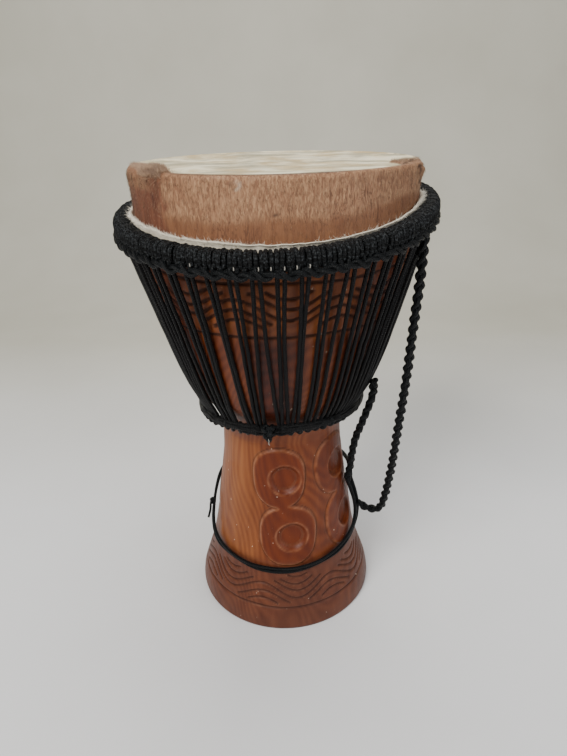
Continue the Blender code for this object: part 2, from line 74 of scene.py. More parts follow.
CROWN_THICK = 0.0210
CROWN_LEAN_X = 1.4
CROWN_LEAN_Y = 4.7
LOWER_RING_HEIGHT = 0.3040
LOWER_RING_TALL = 0.0130
LOWER_RING_THICK = 0.0110
LOWER_LEAN_X = 2.0
LOWER_LEAN_Y = -2.0
FIT_GAP = 0.0003
LOOPS = 48
ROPE_RADIUS = 0.0020
ROPE_FULLNESS = 1.12
FIRST_LOOP = 1.2
PAIR_HALF_ANGLE = 1.15
ROPE_TOP_INSET = 0.0155
SPREAD_REACH = 9.0
GATHERING = 1.4
WOOD_GAPS = (
    (-42.0, 1.2), (-26.0, 2.6), (-7.5, 2.4), (25.5, 0.9), (66.0, 1.6), (101.0, 2.2),
    (139.0, 1.4), (171.0, 2.4), (-79.0, 2.0), (-112.0, 1.3), (-149.0, 2.3),
)
TIE_RADIUS = 0.0021
TIE_CORD_STEP = 0.0046
TIE_ROUTE = (
    (69.5, 0.1860, 0.0035), (71.8, 0.1650, 0.0065), (73.4, 0.1420, 0.0085), (73.6, 0.1190, 0.0060),
    (68.5, 0.1035, 0.0015), (56.0, 0.0972, 0.0), (42.0, 0.0938, 0.0), (26.0, 0.0895, 0.0),
    (11.0, 0.0862, 0.0), (-2.0, 0.0846, 0.0), (-15.0, 0.0850, 0.0), (-28.0, 0.0868, 0.0),
    (-45.0, 0.0898, 0.0), (-60.0, 0.0935, 0.0005), (-71.0, 0.1015, 0.0020), (-78.0, 0.1150, 0.0030),
    (-84.0, 0.1330, 0.0025), (-92.0, 0.1480, 0.0008), (-106.0, 0.1590, 0.0), (-125.0, 0.1650, 0.0),
    (-150.0, 0.1690, 0.0), (-175.0, 0.1720, 0.0), (-200.0, 0.1750, 0.0), (-225.0, 0.1785, 0.0),
    (-250.0, 0.1835, 0.0), (-270.0, 0.1895, 0.0012), (-282.0, 0.1925, 0.0028),
)
TAIL_ROUTE = (
    (-84.5, 0.1385, 0.0070), (-84.0, 0.1345, 0.0080), (-83.0, 0.1300, 0.0077),
    (-81.5, 0.1220, 0.0075), (-80.0, 0.1110, 0.0092),
)
STRAP_TOP_PLACE = (0.1560, -0.0870)
STRAP_LONG_ROUTE = (
    (0.1558, -0.0868, 0.4980), (0.1550, -0.0860, 0.4700), (0.1535, -0.0840, 0.4380),
    (0.1525, -0.0810, 0.4050), (0.1515, -0.0780, 0.3700), (0.1500, -0.0740, 0.3330),
    (0.1480, -0.0700, 0.2980), (0.1462, -0.0655, 0.2600), (0.1448, -0.0600, 0.2240),
    (0.1422, -0.0545, 0.1900), (0.1390, -0.0495, 0.1600), (0.1325, -0.0450, 0.1385),
)
STRAP_SHORT_ROUTE = (
    (0.1135, -0.0560, 0.3180), (0.1085, -0.0540, 0.3000), (0.1025, -0.0505, 0.2780),
    (0.0972, -0.0465, 0.2580), (0.0938, -0.0430, 0.2340), (0.0918, -0.0395, 0.2080),
)
KNOT_RADIUS = 0.0052
SIDE_KNOT_AZIMUTH = 63.8
SIDE_KNOT_RISE = 0.0370
SIDE_KNOT_REACH = 0.0062
FRONT_KNOT_AZIMUTH = -7.8
CROWN_SIDE_RISE = 0.0070
# Azimuths of the painted glints on the crown ring's front
GLINTS = (-25.8, -12.2, -5.1, -1.6, 2.2, 5.7, 9.4)

# Carving: widths are half widths, measured along the wood
LINE_WIDTH = 0.0019
LINE_DEPTH = 0.0016
RING_LINES = (0.0330, 0.4398, 0.4992)
FOOT_WAVE = {"count": 7, "crest": -17.0, "middle": 0.0546, "swing": 0.0096, "step": 0.0094}
BOWL_WAVE = {"count": 9, "crest": -16.0, "middle": 0.4710, "swing": 0.0108, "step": 0.0110}
FIGURE_AZIMUTHS = (0.0, 58.0, 180.0, 238.0)
FIGURE_RELIEF = 0.0028
FIGURE_WEAR = (0.0, 0.35, 0.0, 0.2)
FIGURE_BEVEL = 0.0012
LOBE_POWER = 2.5
WAIST_HALF_WIDTH = 0.0125
UPPER_LOBE = (-0.0050, 0.2210, 0.0330, 0.0410)
LOWER_LOBE = (0.0050, 0.1370, 0.0370, 0.0430)
DISHES = ((0.0020, 0.2190), (0.0098, 0.1356))
DISH_RADIUS = 0.0205
DISH_DEPTH = 0.0056
DISH_SLOPE = 0.0048

# Mesh fineness
SHELL_COLUMNS = 440
BORE_COLUMNS = 110
SKIN_COLUMNS = 360
CROWN_WRAPS = 240
LOWER_WRAPS = 64

SHELL_HEIGHT = STEM_HEIGHT + BOWL_HEIGHT
HEAD_HEIGHT = SHELL_HEIGHT + SKIN_GAP + SKIN_THICKNESS
COLLAR_RADIUS = RIM_RADIUS + SKIN_GAP + SKIN_THICKNESS
LIP_RADIUS = COLLAR_RADIUS + LIP_GAP + SKIN_THICKNESS
CROWN_INNER = LIP_RADIUS + FIT_GAP
CROWN_TOP = CROWN_HEIGHT + CROWN_TALL / 2
CROWN_BOTTOM = CROWN_HEIGHT - CROWN_TALL / 2


def placed(name, data):
    """A new object in the scene, at the origin."""
    obj = bpy.data.objects.new(name, data)
    bpy.context.scene.collection.objects.link(obj)
    return obj


# Camera: the photograph's own view, 567 by 756
CAMERA_PLACE = (0.0038, -0.6910, 0.6499)
CAMERA_TILT = 0.439436
CAMERA_ROLL = -0.0244452
SENSOR_HEIGHT_MM = 36.0
LENS_MM = 27.045


def make_camera():
    forward = Vector((0.0, math.cos(CAMERA_TILT), -math.sin(CAMERA_TILT)))
    level = Vector((1.0, 0.0, 0.0))
    upright = level.cross(forward)
    right = math.cos(CAMERA_ROLL) * level + math.sin(CAMERA_ROLL) * upright
    up = -math.sin(CAMERA_ROLL) * level + math.cos(CAMERA_ROLL) * upright
    data = bpy.data.cameras.new("camera")
    data.sensor_fit = "VERTICAL"
    data.sensor_height = SENSOR_HEIGHT_MM
    data.lens = LENS_MM
    camera = placed("camera", data)
    turn = Matrix((right, up, -forward)).transposed()
    camera.matrix_world = Matrix.Translation(CAMERA_PLACE) @ turn.to_4x4()
    bpy.context.scene.camera = camera


make_camera()


# Numbers and shapes
def hump(value, middle, width, power=2):
    """A soft bump, 1 at the middle value and gone a few widths from it."""
    return np.exp(-(((value - middle) / width) ** power))


def at_least(field, place, values):
    """Brings a part of a field up to the given values."""
    field[place] = np.maximum(field[place], values)


def spaced(count):
    """The azimuths of so many columns round the drum."""
    return -180.0 + 360.0 / count * np.arange(count)


SMOOTHING_REACH = 24
SMOOTHING_WIDTH = 9.0
OUTLINE_STEP = 0.0005


def dense_outline():
    """Heights and outer radii of the shell, rounded as a carver leaves them."""
    flare = FOOT_RADIUS - NECK_RADIUS
    spread = RIM_RADIUS - NECK_RADIUS
    stations = [(-0.05, FOOT_RADIUS + 0.004), (0.0, FOOT_RADIUS)]
    stations += [(h * STEM_HEIGHT, NECK_RADIUS + r * flare) for h, r in STEM_OUTLINE]
    stations += [(STEM_HEIGHT + h * BOWL_HEIGHT, NECK_RADIUS + r * spread) for h, r in BOWL_OUTLINE]
    stations += [(SHELL_HEIGHT, RIM_RADIUS), (SHELL_HEIGHT + 0.05, RIM_RADIUS)]
    heights, radii = zip(*stations)
    fine = np.arange(-0.03, SHELL_HEIGHT + 0.03, OUTLINE_STEP)
    rough = np.interp(fine, heights, radii)
    kernel = hump(np.arange(-SMOOTHING_REACH, SMOOTHING_REACH + 1), 0.0, SMOOTHING_WIDTH)
    smooth = np.convolve(rough, kernel / kernel.sum(), mode="same")
    kept = slice(SMOOTHING_REACH, -SMOOTHING_REACH)
    return fine[kept], smooth[kept]


OUTLINE_HEIGHTS, OUTLINE_RADII = dense_outline()


def shell_radius(height):
    return np.interp(height, OUTLINE_HEIGHTS, OUTLINE_RADII)


def leant(lean_x, lean_y, x, y):
    return math.tan(math.radians(lean_x)) * x + math.tan(math.radians(lean_y)) * y


def crown_lift(x, y):
    """How far the crown ring stands off its mean height: it leans, and it rides up at its sides."""
    aside = x / CROWN_INNER
    return leant(CROWN_LEAN_X, CROWN_LEAN_Y, x, y) + CROWN_SIDE_RISE * (1 + 0.25 * aside) * aside**2


def lower_lift(x, y):
    return leant(LOWER_LEAN_X, LOWER_LEAN_Y, x, y)


def around(azimuth, radius, height):
    turn = math.radians(azimuth)
    return Vector((radius * math.sin(turn), -radius * math.cos(turn), height))


def smooth_through(points, count):
    """Evenly spaced points on a smooth curve through the given ones (a Catmull-Rom spline)."""
    points = [Vector(point) for point in points]
    ends = [2 * points[0] - points[1]] + points + [2 * points[-1] - points[-2]]
    fine = []
    for a, b, c, d in zip(ends, ends[1:], ends[2:], ends[3:]):
        for step in range(8):
            t = step / 8
            fine.append(
                0.5 * (2 * b + (c - a) * t + (2 * a - 5 * b + 4 * c - d) * t**2
                       + (3 * b - a - 3 * c + d) * t**3)
            )
    fine.append(points[-1])
    runs = np.cumsum([0.0] + [(b - a).length for a, b in zip(fine, fine[1:])])
    wanted = np.linspace(0.0, runs[-1], count)
    return [Vector([float(np.interp(w, runs, [p[i] for p in fine])) for i in range(3)]) for w in wanted]


def lattice(seed, azimuth, height, across, tall):
    """Smooth bumps from -1 to 1 on the unrolled surface, cells so many degrees wide and metres tall."""
    wide = max(3, round(360.0 / across))
    values = np.random.default_rng(seed).uniform(-1.0, 1.0, (64, wide))
    u = np.asarray(azimuth) / 360.0 * wide
    v = np.asarray(height) / tall + 8.0
    u0, v0 = np.floor(u).astype(int), np.floor(v).astype(int)
    fu, fv = u - u0, v - v0
    fu, fv = fu * fu * (3 - 2 * fu), fv * fv * (3 - 2 * fv)
    low = values[v0 % 64, u0 % wide] * (1 - fu) + values[v0 % 64, (u0 + 1) % wide] * fu
    high = values[(v0 + 1) % 64, u0 % wide] * (1 - fu) + values[(v0 + 1) % 64, (u0 + 1) % wide] * fu
    return low * (1 - fv) + high * fv


def ease(value, low, high):
    share = np.clip((np.asarray(value, float) - low) / (high - low), 0.0, 1.0)
    return share * share * (3 - 2 * share)


def turned_by(azimuth, centre):
    """Degrees from centre to azimuth, from -180 to 180."""
    return (np.asarray(azimuth) - centre + 180.0) % 360.0 - 180.0


# Meshes
def mesh_object(name, points, faces, material, values=None):
    """A smooth piece, with the values that its material or its hairs read at each point."""
    mesh = bpy.data.meshes.new(name)
    mesh.from_pydata([tuple(p) for p in points], [], faces)
    mesh.polygons.foreach_set("use_smooth", [True] * len(mesh.polygons))
    for key, numbers in (values or {}).items():
        vector = np.ndim(numbers) == 2
        layer = mesh.attributes.new(key, "FLOAT_VECTOR" if vector else "FLOAT", "POINT")
        layer.data.foreach_set("vector" if vector else "value", np.asarray(numbers, np.float32).ravel())
    mesh.materials.append(material)
    mesh.update()
    return placed(name, mesh)


def band(radius, height, turn):
    """A row of points round the drum, at the turns given in radians."""
    radius = np.broadcast_to(radius, turn.shape)
    return np.stack([radius * np.sin(turn), -radius * np.cos(turn), np.broadcast_to(height, turn.shape)], -1)


def bridge(low, high, columns):
    """Quads from one closed row of points to the next."""
    nexts = [(column + 1) % columns for column in range(columns)]
    return [(low + here, low + there, high + there, high + here) for here, there in enumerate(nexts)]


def ring_faces(first, columns, rows):
    """Quads between rows of points that close round the drum."""
    lows = [first + row * columns for row in range(rows - 1)]
    return [face for low in lows for face in bridge(low, low + columns, columns)]


def stepped_faces(fine, fine_columns, coarse, coarse_columns, turned=False):
    """The faces between a ring of many points and a ring of few."""
    ratio = fine_columns // coarse_columns
    half = ratio // 2
    faces = []
    for column in range(coarse_columns):
        here = coarse + column
        there = coarse + (column + 1) % coarse_columns
        edge = [fine + (column * ratio + step) % fine_columns for step in range(ratio + 1)]
        for index, (a, b) in enumerate(zip(edge, edge[1:])):
            faces.append((a, b, here if index < half else there))
        faces.append((edge[half], there, here))
    return [face[::-1] for face in faces] if turned else faces


# Node trees
FLOAT, VECTOR, GEOMETRY = "NodeSocketFloat", "NodeSocketVector", "NodeSocketGeometry"
MATERIAL, TEXT = "NodeSocketMaterial", "NodeSocketString"
FULL_TURN = 2 * math.pi


def fill(tree, made, inputs):
    """Links a node's inputs to sockets, or sets their values."""
    for key, value in inputs.items():
        if isinstance(value, bpy.types.NodeSocket):
            tree.links.new(value, made.inputs[key])
        else:
            made.inputs[key].default_value = value


def node(tree, kind, inputs=None, output=0, **settings):
    """Adds a node, sets and links it, and gives one of its outputs."""
    made = tree.nodes.new(kind)
    for key, value in settings.items():
        setattr(made, key, value)
    fill(tree, made, inputs or {})
    return made.outputs[output]


def new_group(name, kind, inputs, outputs):
    """A node group. Each input has its socket's kind or, where it is a number, the value it starts from."""
    tree = bpy.data.node_groups.new(name, kind)
    numbers = {float: FLOAT, int: "NodeSocketInt"}
    for label, value in inputs.items():
        kind_of_socket = numbers.get(type(value), value)
        socket = tree.interface.new_socket(label, in_out="INPUT", socket_type=kind_of_socket)
        if type(value) in numbers:
            socket.default_value = value
    for label, kind_of_socket in outputs.items():
        tree.interface.new_socket(label, in_out="OUTPUT", socket_type=kind_of_socket)
    return tree, tree.nodes.new("NodeGroupInput").outputs, tree.nodes.new("NodeGroupOutput")


def use_group(tree, group, inputs):
    made = tree.nodes.new("ShaderNodeGroup")
    made.node_tree = group
    fill(tree, made, inputs)
    return made.outputs


def maths(tree, operation, a, b=0.0, clamp=False):
    return node(tree, "ShaderNodeMath", {0: a, 1: b}, operation=operation, use_clamp=clamp)


def plus(tree, a, b):
    return maths(tree, "ADD", a, b)


def times(tree, first, *others):
    product = first
    for other in others:
        product = maths(tree, "MULTIPLY", product, other)
    return product


def vectors(tree, operation, a, b):
    return node(tree, "ShaderNodeVectorMath", {0: a, 1: b}, operation=operation)


def scaled(tree, vector, factor):
    return node(tree, "ShaderNodeVectorMath", {0: vector, "Scale": factor}, operation="SCALE")


def parts(tree, vector):
    made = tree.nodes.new("ShaderNodeSeparateXYZ")
    fill(tree, made, {0: vector})
    return made.outputs


def opaque(color):
    return (*color, 1.0) if isinstance(color, tuple) else color


def blended(tree, share, a, b):
    inputs = {0: share, 6: opaque(a), 7: opaque(b)}
    return node(tree, "ShaderNodeMix", inputs, 2, data_type="RGBA", clamp_factor=True)


def remapped(tree, value, low, high, to_low=0.0, to_high=1.0):
    inputs = {0: value, 1: low, 2: high, 3: to_low, 4: to_high}
    return node(tree, "ShaderNodeMapRange", inputs, clamp=True)


def two_tone(tree, value, low, high, under, over):
    """One colour where the value is low, and another where it is high."""
    return blended(tree, remapped(tree, value, low, high), under, over)


def attribute(tree, name, output="Fac"):
    return node(tree, "ShaderNodeAttribute", output=output, attribute_name=name)


def noise(tree, vector, scale, detail=3.0, roughness=0.55, distortion=0.0):
    inputs = {
        "Vector": vector, "Scale": scale, "Detail": detail, "Roughness": roughness, "Distortion": distortion,
    }
    return node(tree, "ShaderNodeTexNoise", inputs, "Fac")


def streaks(tree, vector, scales, detail, roughness=0.55, distortion=0.0):
    """Noise drawn out along the axes, by its scale along each."""
    stretched = node(tree, "ShaderNodeMapping", {"Vector": vector, "Scale": scales})
    return noise(tree, stretched, 1.0, detail, roughness, distortion)


def bumped(tree, height, distance, strength=1.0, over=None):
    inputs = {"Height": height, "Distance": distance, "Strength": strength}
    if over is not None:
        inputs["Normal"] = over
    return node(tree, "ShaderNodeBump", inputs)


# Effects shared by the materials
def shader_group(name, inputs, outputs):
    return new_group(name, "ShaderNodeTree", inputs, dict.fromkeys(outputs, FLOAT))


def timber_group():
    """Growth rings and fibres of a log with its pith off the middle, from where a point lies in it."""
    inputs = {"Place": VECTOR, "Ring Spacing": 0.0046, "Wander": 0.011}
    tree, given, out = shader_group("timber", inputs, ("Rings", "Fibre", "Cloud"))
    place = given["Place"]
    x, y, _ = parts(tree, vectors(tree, "ADD", place, (-0.030, 0.040, 0.0)))
    reach = maths(tree, "SQRT", plus(tree, times(tree, x, x), times(tree, y, y)))
    slow = streaks(tree, place, (8.0, 8.0, 3.0), 2.0)
    drift = times(tree, maths(tree, "SUBTRACT", slow, 0.5), given["Wander"], 6.0)
    turns = maths(tree, "DIVIDE", plus(tree, reach, drift), given["Ring Spacing"])
    wave = maths(tree, "SINE", times(tree, turns, FULL_TURN))
    fill(tree, out, {
        "Rings": plus(tree, times(tree, wave, 0.15), streaks(tree, place, (70.0, 70.0, 6.0), 4.0)),
        "Fibre": streaks(tree, place, (620.0, 620.0, 22.0), 3.0, 0.6),
        "Cloud": noise(tree, place, 11.0, 4.0),
    })
    return tree


def wear_and_light_group():
    """Where carved edges are rubbed pale with a painted highlight, and where grooves are darkened by dirt and
    painted shade, from the carved depth.
    """
    inputs = {"Place": VECTOR, "Cut": 0.0, "Edge": 0.0}
    tree, given, out = shader_group("rubbed_lit_edges_and_shaded_dirty_grooves", inputs, ("Rubbed And Highlit", "Dirt And Shade"))
    patchy = noise(tree, given["Place"], 60.0, 4.0)
    patchiness = remapped(tree, patchy, 0.1, 0.5, 0.75, 1.0)
    fill(tree, out, {
        "Rubbed And Highlit": times(tree, given["Edge"], remapped(tree, patchy, 0.34, 0.62)),
        "Dirt And Shade": maths(tree, "MULTIPLY", given["Cut"], patchiness, clamp=True),
    })
    return tree


def braid_group():
    """The plaited sheath of a cord, from the length along it and the direction round it."""
    tree, given, out = shader_group("braided_sheath", {"Lay": 0.0052, "Strands": 4.0}, ("Height", "Shine"))
    x, y, _ = parts(tree, attribute(tree, "spoke", "Vector"))
    angle = times(tree, maths(tree, "ARCTAN2", y, x), given["Strands"])
    run = times(tree, maths(tree, "DIVIDE", attribute(tree, "along"), given["Lay"]), FULL_TURN)
    ways = [maths(tree, "SINE", maths(tree, way, angle, run)) for way in ("ADD", "SUBTRACT")]
    cells = times(tree, *ways)
    fill(tree, out, {"Height": remapped(tree, cells, -0.6, 0.9), "Shine": remapped(tree, cells, 0.2, 1.0)})
    return tree


TIMBER = timber_group()
WEAR_AND_LIGHT = wear_and_light_group()
BRAID = braid_group()


# Materials
def new_material(name):
    """A material, its tree and the socket that says where on the piece a point lies."""
    material = bpy.data.materials.new(name)
    material.use_nodes = True
    tree = material.node_tree
    return material, tree, node(tree, "ShaderNodeTexCoord", output="Object")


def surfaced(material, inputs):
    """Gives the shader its maps, and on its own sockets what is the same all over."""
    tree = material.node_tree
    fill(tree, tree.nodes["Principled BSDF"], inputs)
    return material


def wood_material():
    material, tree, place = new_material("oiled_carved_wood")
    grain = use_group(tree, TIMBER, {"Place": place})
    carved = {"Place": place, "Cut": attribute(tree, "cut"), "Edge": attribute(tree, "edge")}
    wear_and_light = use_group(tree, WEAR_AND_LIGHT, carved)
    shade = plus(tree, times(tree, grain["Rings"], 0.75), times(tree, grain["Fibre"], 0.25))
    ramp = tree.nodes.new("ShaderNodeValToRGB")
    fill(tree, ramp, {0: shade})
    stops = ramp.color_ramp.elements
    stops.new(0.46)
    tones = ((0.20, (0.085, 0.016, 0.003)), (0.46, (0.150, 0.033, 0.007)), (0.78, (0.230, 0.062, 0.016)))
    for stop, (position, tone) in zip(stops, tones):
        stop.position = position
        stop.color = opaque(tone)
    color = ramp.outputs[0]
    zones = (
        # Paler wood: painted light on the stem's left side, which faces the lamp, and a paler band at the
        # bowl's front
        ("lit_and_pale", (0.20, 0.70), (0.182, 0.043, 0.008), (0.300, 0.102, 0.027)),
        # The oiled tone: the figures' own oil, and at 0.35 over the stem's front and right, painted shade on
        # the side away from the lamp
        ("oiled", (0.20, 0.80), (0.077, 0.0095, 0.0005), (0.144, 0.024, 0.002)),
        ("dusty", (0.15, 0.85), (0.069, 0.018, 0.009), (0.130, 0.041, 0.020)),
        ("shaded", (0.25, 0.75), (0.018, 0.0020, 0.0004), (0.086, 0.0130, 0.003)),
    )
    for zone, span, under, over in zones:
        color = blended(tree, attribute(tree, zone), color, two_tone(tree, shade, *span, under, over))
    specks = noise(tree, place, 210.0, 1.0)
    stains = (
        (remapped(tree, grain["Cloud"], 0.35, 0.65, 0.0, 0.14), (0.050, 0.011, 0.004)),
        # Pale edges: rubbing, and a painted highlight along the carved edges
        (times(tree, wear_and_light["Rubbed And Highlit"], 0.55), (0.430, 0.190, 0.095)),
        # Grooves darkened: dirt, and painted shade in the recesses
        (times(tree, wear_and_light["Dirt And Shade"], 0.80), (0.008, 0.002, 0.001)),
        (remapped(tree, specks, 0.768, 0.795, 0.0, 0.7), (0.62, 0.50, 0.38)),
    )
    for share, stain in stains:
        color = blended(tree, share, color, stain)
    fibrous = remapped(tree, grain["Fibre"], 0.3, 0.7, 0.36, 0.52)
    return surfaced(material, {
        "Base Color": color,
        "Roughness": plus(tree, fibrous, times(tree, wear_and_light["Dirt And Shade"], 0.3)),
        "Normal": bumped(tree, grain["Rings"], 0.0004, 0.3, bumped(tree, grain["Fibre"], 0.00025, 0.5)),
        "Specular IOR Level": 0.26,
    })


def rope_material(name, color, painted_sheen, roughness, lay=0.0052, strength=0.9, lint_and_glints=0.05):
    """Plaited rope. The second colour is a painted sheen on the raised strands; the last number is how much
    pale fluff, partly painted speckled highlight, lies on it.
    """
    material, tree, place = new_material(name)
    braid = use_group(tree, BRAID, {"Lay": lay})
    sheen_patches = remapped(tree, noise(tree, place, 38.0, 4.0), 0.3, 0.7, 0.25, 1.0)
    # Painted sheen: the raised strands lightened in patches
    shade = blended(tree, times(tree, braid["Shine"], sheen_patches), color, painted_sheen)
    # Pale specks: fluff, and painted speckled highlights
    lint_and_glint_specks = remapped(tree, noise(tree, place, 480.0, 3.0), 0.50, 0.66, 0.0, lint_and_glints)
    fuzz = bumped(tree, noise(tree, place, 900.0, 2.0), 0.0003, 0.4)
    return surfaced(material, {
        "Base Color": blended(tree, lint_and_glint_specks, shade, (0.070, 0.078, 0.084)),
        "Roughness": remapped(tree, braid["Height"], 0.0, 1.0, roughness + 0.25, roughness),
        "Normal": bumped(tree, braid["Height"], 0.0011, strength, fuzz),
        "Specular IOR Level": 0.16,
        "Sheen Weight": 0.01,
    })


def skin_material():
    material, tree, place = new_material("dried_goatskin")
    streak = streaks(tree, place, (470.0, 470.0, 130.0), 4.0, 0.5, 0.8)
    crease = streaks(tree, place, (120.0, 120.0, 16.0), 4.0, 0.6)
    blotch = streaks(tree, place, (26.0, 26.0, 34.0), 4.0)
    grey = streaks(tree, place, (13.0, 32.0, 10.0), 4.0)
    vein = streaks(tree, place, (270.0, 270.0, 44.0), 2.0, 0.5, 1.2)
    fine = noise(tree, place, 320.0, 3.0)
    off_vein = maths(tree, "ABSOLUTE", maths(tree, "SUBTRACT", vein, 0.5))
    in_vein = remapped(tree, off_vein, 0.0, 0.048, 1.0, 0.0)
    crack = times(tree, in_vein, remapped(tree, blotch, 0.36, 0.60, 0.30, 0.80))
    bare = two_tone(tree, blotch, 0.40, 0.62, (0.860, 0.780, 0.570), (0.560, 0.430, 0.230))
    bare = blended(tree, remapped(tree, grey, 0.47, 0.62, 0.0, 0.85), bare, (0.340, 0.300, 0.200))
    tan = two_tone(tree, streak, 0.36, 0.66, (0.210, 0.098, 0.050), (0.400, 0.225, 0.118))
    low = two_tone(tree, crease, 0.30, 0.72, (0.128, 0.044, 0.017), (0.236, 0.101, 0.042))
    low = blended(tree, remapped(tree, streak, 0.48, 0.70, 0.0, 0.55), low, (0.170, 0.062, 0.028))
    red = two_tone(tree, crease, 0.32, 0.70, (0.070, 0.020, 0.010), (0.200, 0.072, 0.035))
    hide = blended(tree, attribute(tree, "low"), tan, low)
    hide = blended(tree, remapped(tree, blotch, 0.50, 0.70, 0.0, 0.4), hide, (0.235, 0.100, 0.050))
    hide = blended(tree, crack, hide, (0.080, 0.030, 0.014))
    hide = blended(tree, attribute(tree, "patch"), hide, red)
    color = blended(tree, attribute(tree, "haired"), bare, hide)
    # Dark marks, with the painted shadow line along the front of the rim
    color = blended(tree, attribute(tree, "marks_and_rim_shadow"), color, (0.045, 0.020, 0.012))
    color = blended(tree, attribute(tree, "pale"), color, (0.760, 0.690, 0.560))
    hairs = bumped(tree, times(tree, streak, attribute(tree, "haired")), 0.0006, 0.7)
    return surfaced(material, {
        "Base Color": color,
        "Roughness": remapped(tree, fine, 0.3, 0.7, 0.50, 0.72),
        "Normal": bumped(tree, fine, 0.0002, 0.35, hairs),
        "Specular IOR Level": 0.35,
    })


def hair_material():
    material, tree, place = new_material("goat_hair")
    tone = noise(tree, place, 140.0, 3.0)
    color = two_tone(tree, tone, 0.3, 0.7, (0.130, 0.060, 0.034), (0.500, 0.330, 0.200))
    # Dark marks, with the painted shadow line along the front of the rim
    color = blended(tree, attribute(tree, "marks_and_rim_shadow"), color, (0.070, 0.034, 0.020))
    color = blended(tree, attribute(tree, "pale"), color, (0.820, 0.760, 0.640))
    return surfaced(material, {"Base Color": color, "Roughness": remapped(tree, tone, 0.3, 0.7, 0.42, 0.60)})


WOOD = wood_material()
ROPE = rope_material("black_braided_rope", (0.0010, 0.0009, 0.0011), (0.0075, 0.0070, 0.0085), 0.30)
RING_ROPE = rope_material(
    "black_wrapping_rope", (0.0012, 0.0014, 0.0017), (0.0170, 0.0200, 0.0230), 0.42, 0.0064, 1.2, 0.62
)
CORD = rope_material(
    "black_shiny_cord", (0.0010, 0.0014, 0.0018), (0.0060, 0.0090, 0.0110), 0.28, 0.0040, 0.6
)
THREAD = rope_material("pale_thread", (0.36, 0.34, 0.30), (0.60, 0.57, 0.52), 0.6, 0.002, 0.6)
SKIN = skin_material()
HAIR = hair_material()


# What repeats along ropes, round rings and over the skin
def geometry_group(name, inputs):
    return new_group(name, "GeometryNodeTree", {"Geometry": GEOMETRY, **inputs}, {"Geometry": GEOMETRY})


def finished(tree, geometry, material, out):
    real = node(tree, "GeometryNodeRealizeInstances", {"Geometry": geometry})
    dressed = node(tree, "GeometryNodeSetMaterial", {"Geometry": real, "Material": material})
    fill(tree, out, {0: node(tree, "GeometryNodeSetShadeSmooth", {"Geometry": dressed})})
    return tree


def stored(tree, geometry, name, value, kind="FLOAT"):
    inputs = {"Geometry": geometry, "Name": name, "Value": value}
    return node(tree, "GeometryNodeStoreNamedAttribute", inputs, data_type=kind, domain="POINT")


def read_back(tree, name, kind="FLOAT"):
    return node(tree, "GeometryNodeInputNamedAttribute", {"Name": name}, data_type=kind)


def evenly(tree, given):
    """The given curve, with points a step apart."""
    inputs = {"Curve": given["Geometry"], "Length": given["Step"]}
    return node(tree, "GeometryNodeResampleCurve", inputs, mode="LENGTH")


def moved(tree, curve, offset):
    return node(tree, "GeometryNodeSetPosition", {"Geometry": curve, "Offset": offset})


def circle(tree, count):
    inputs = {"Resolution": count, "Radius": 1.0}
    return node(tree, "GeometryNodeCurvePrimitiveCircle", inputs, mode="RADIUS")


def random_vector(tree, seed):
    inputs = {0: (-1.0, -1.0, -1.0), 1: (1.0, 1.0, 1.0), "Seed": seed}
    return node(tree, "FunctionNodeRandomValue", inputs, data_type="FLOAT_VECTOR")


def random_size(tree, least, most, seed):
    return node(tree, "FunctionNodeRandomValue", {2: least, 3: most, "Seed": seed}, 1, data_type="FLOAT")


def copies_at(tree, points, copied, facing, size):
    inputs = {"Points": points, "Instance": copied, "Rotation": facing, "Scale": size}
    return node(tree, "GeometryNodeInstanceOnPoints", inputs)


def sheathed(tree, curve, radius, sides):
    """A tube round a curve that keeps the length along it and the direction round it."""
    curve = stored(tree, curve, "along", node(tree, "GeometryNodeSplineParameter", output="Length"))
    spoke = node(tree, "GeometryNodeInputPosition")
    ring = stored(tree, circle(tree, sides), "spoke", spoke, "FLOAT_VECTOR")
    size = node(tree, "ShaderNodeCombineXYZ", {0: radius, 1: radius, 2: radius})
    ring = node(tree, "GeometryNodeTransform", {"Geometry": ring, "Scale": size})
    inputs = {"Curve": curve, "Profile Curve": ring, "Fill Caps": True}
    return node(tree, "GeometryNodeCurveToMesh", inputs)


def rope_group():
    """Rope along each spline of the curve, wandering a little from it."""
    tree, given, out = geometry_group("rope_along_curve", {
        "Radius": 0.002, "Sides": 8, "Step": 0.004, "Wobble": 0.0, "Seed": 1, "Material": MATERIAL,
    })
    place = node(tree, "GeometryNodeInputPosition")
    inputs = {"Vector": place, "W": given["Seed"], "Scale": 42.0, "Detail": 1.0}
    wander = node(tree, "ShaderNodeTexNoise", inputs, "Color", noise_dimensions="4D")
    offset = scaled(tree, vectors(tree, "SUBTRACT", wander, (0.5, 0.5, 0.5)), given["Wobble"])
    tube = sheathed(tree, moved(tree, evenly(tree, given), offset), given["Radius"], given["Sides"])
    return finished(tree, tube, given["Material"], out)


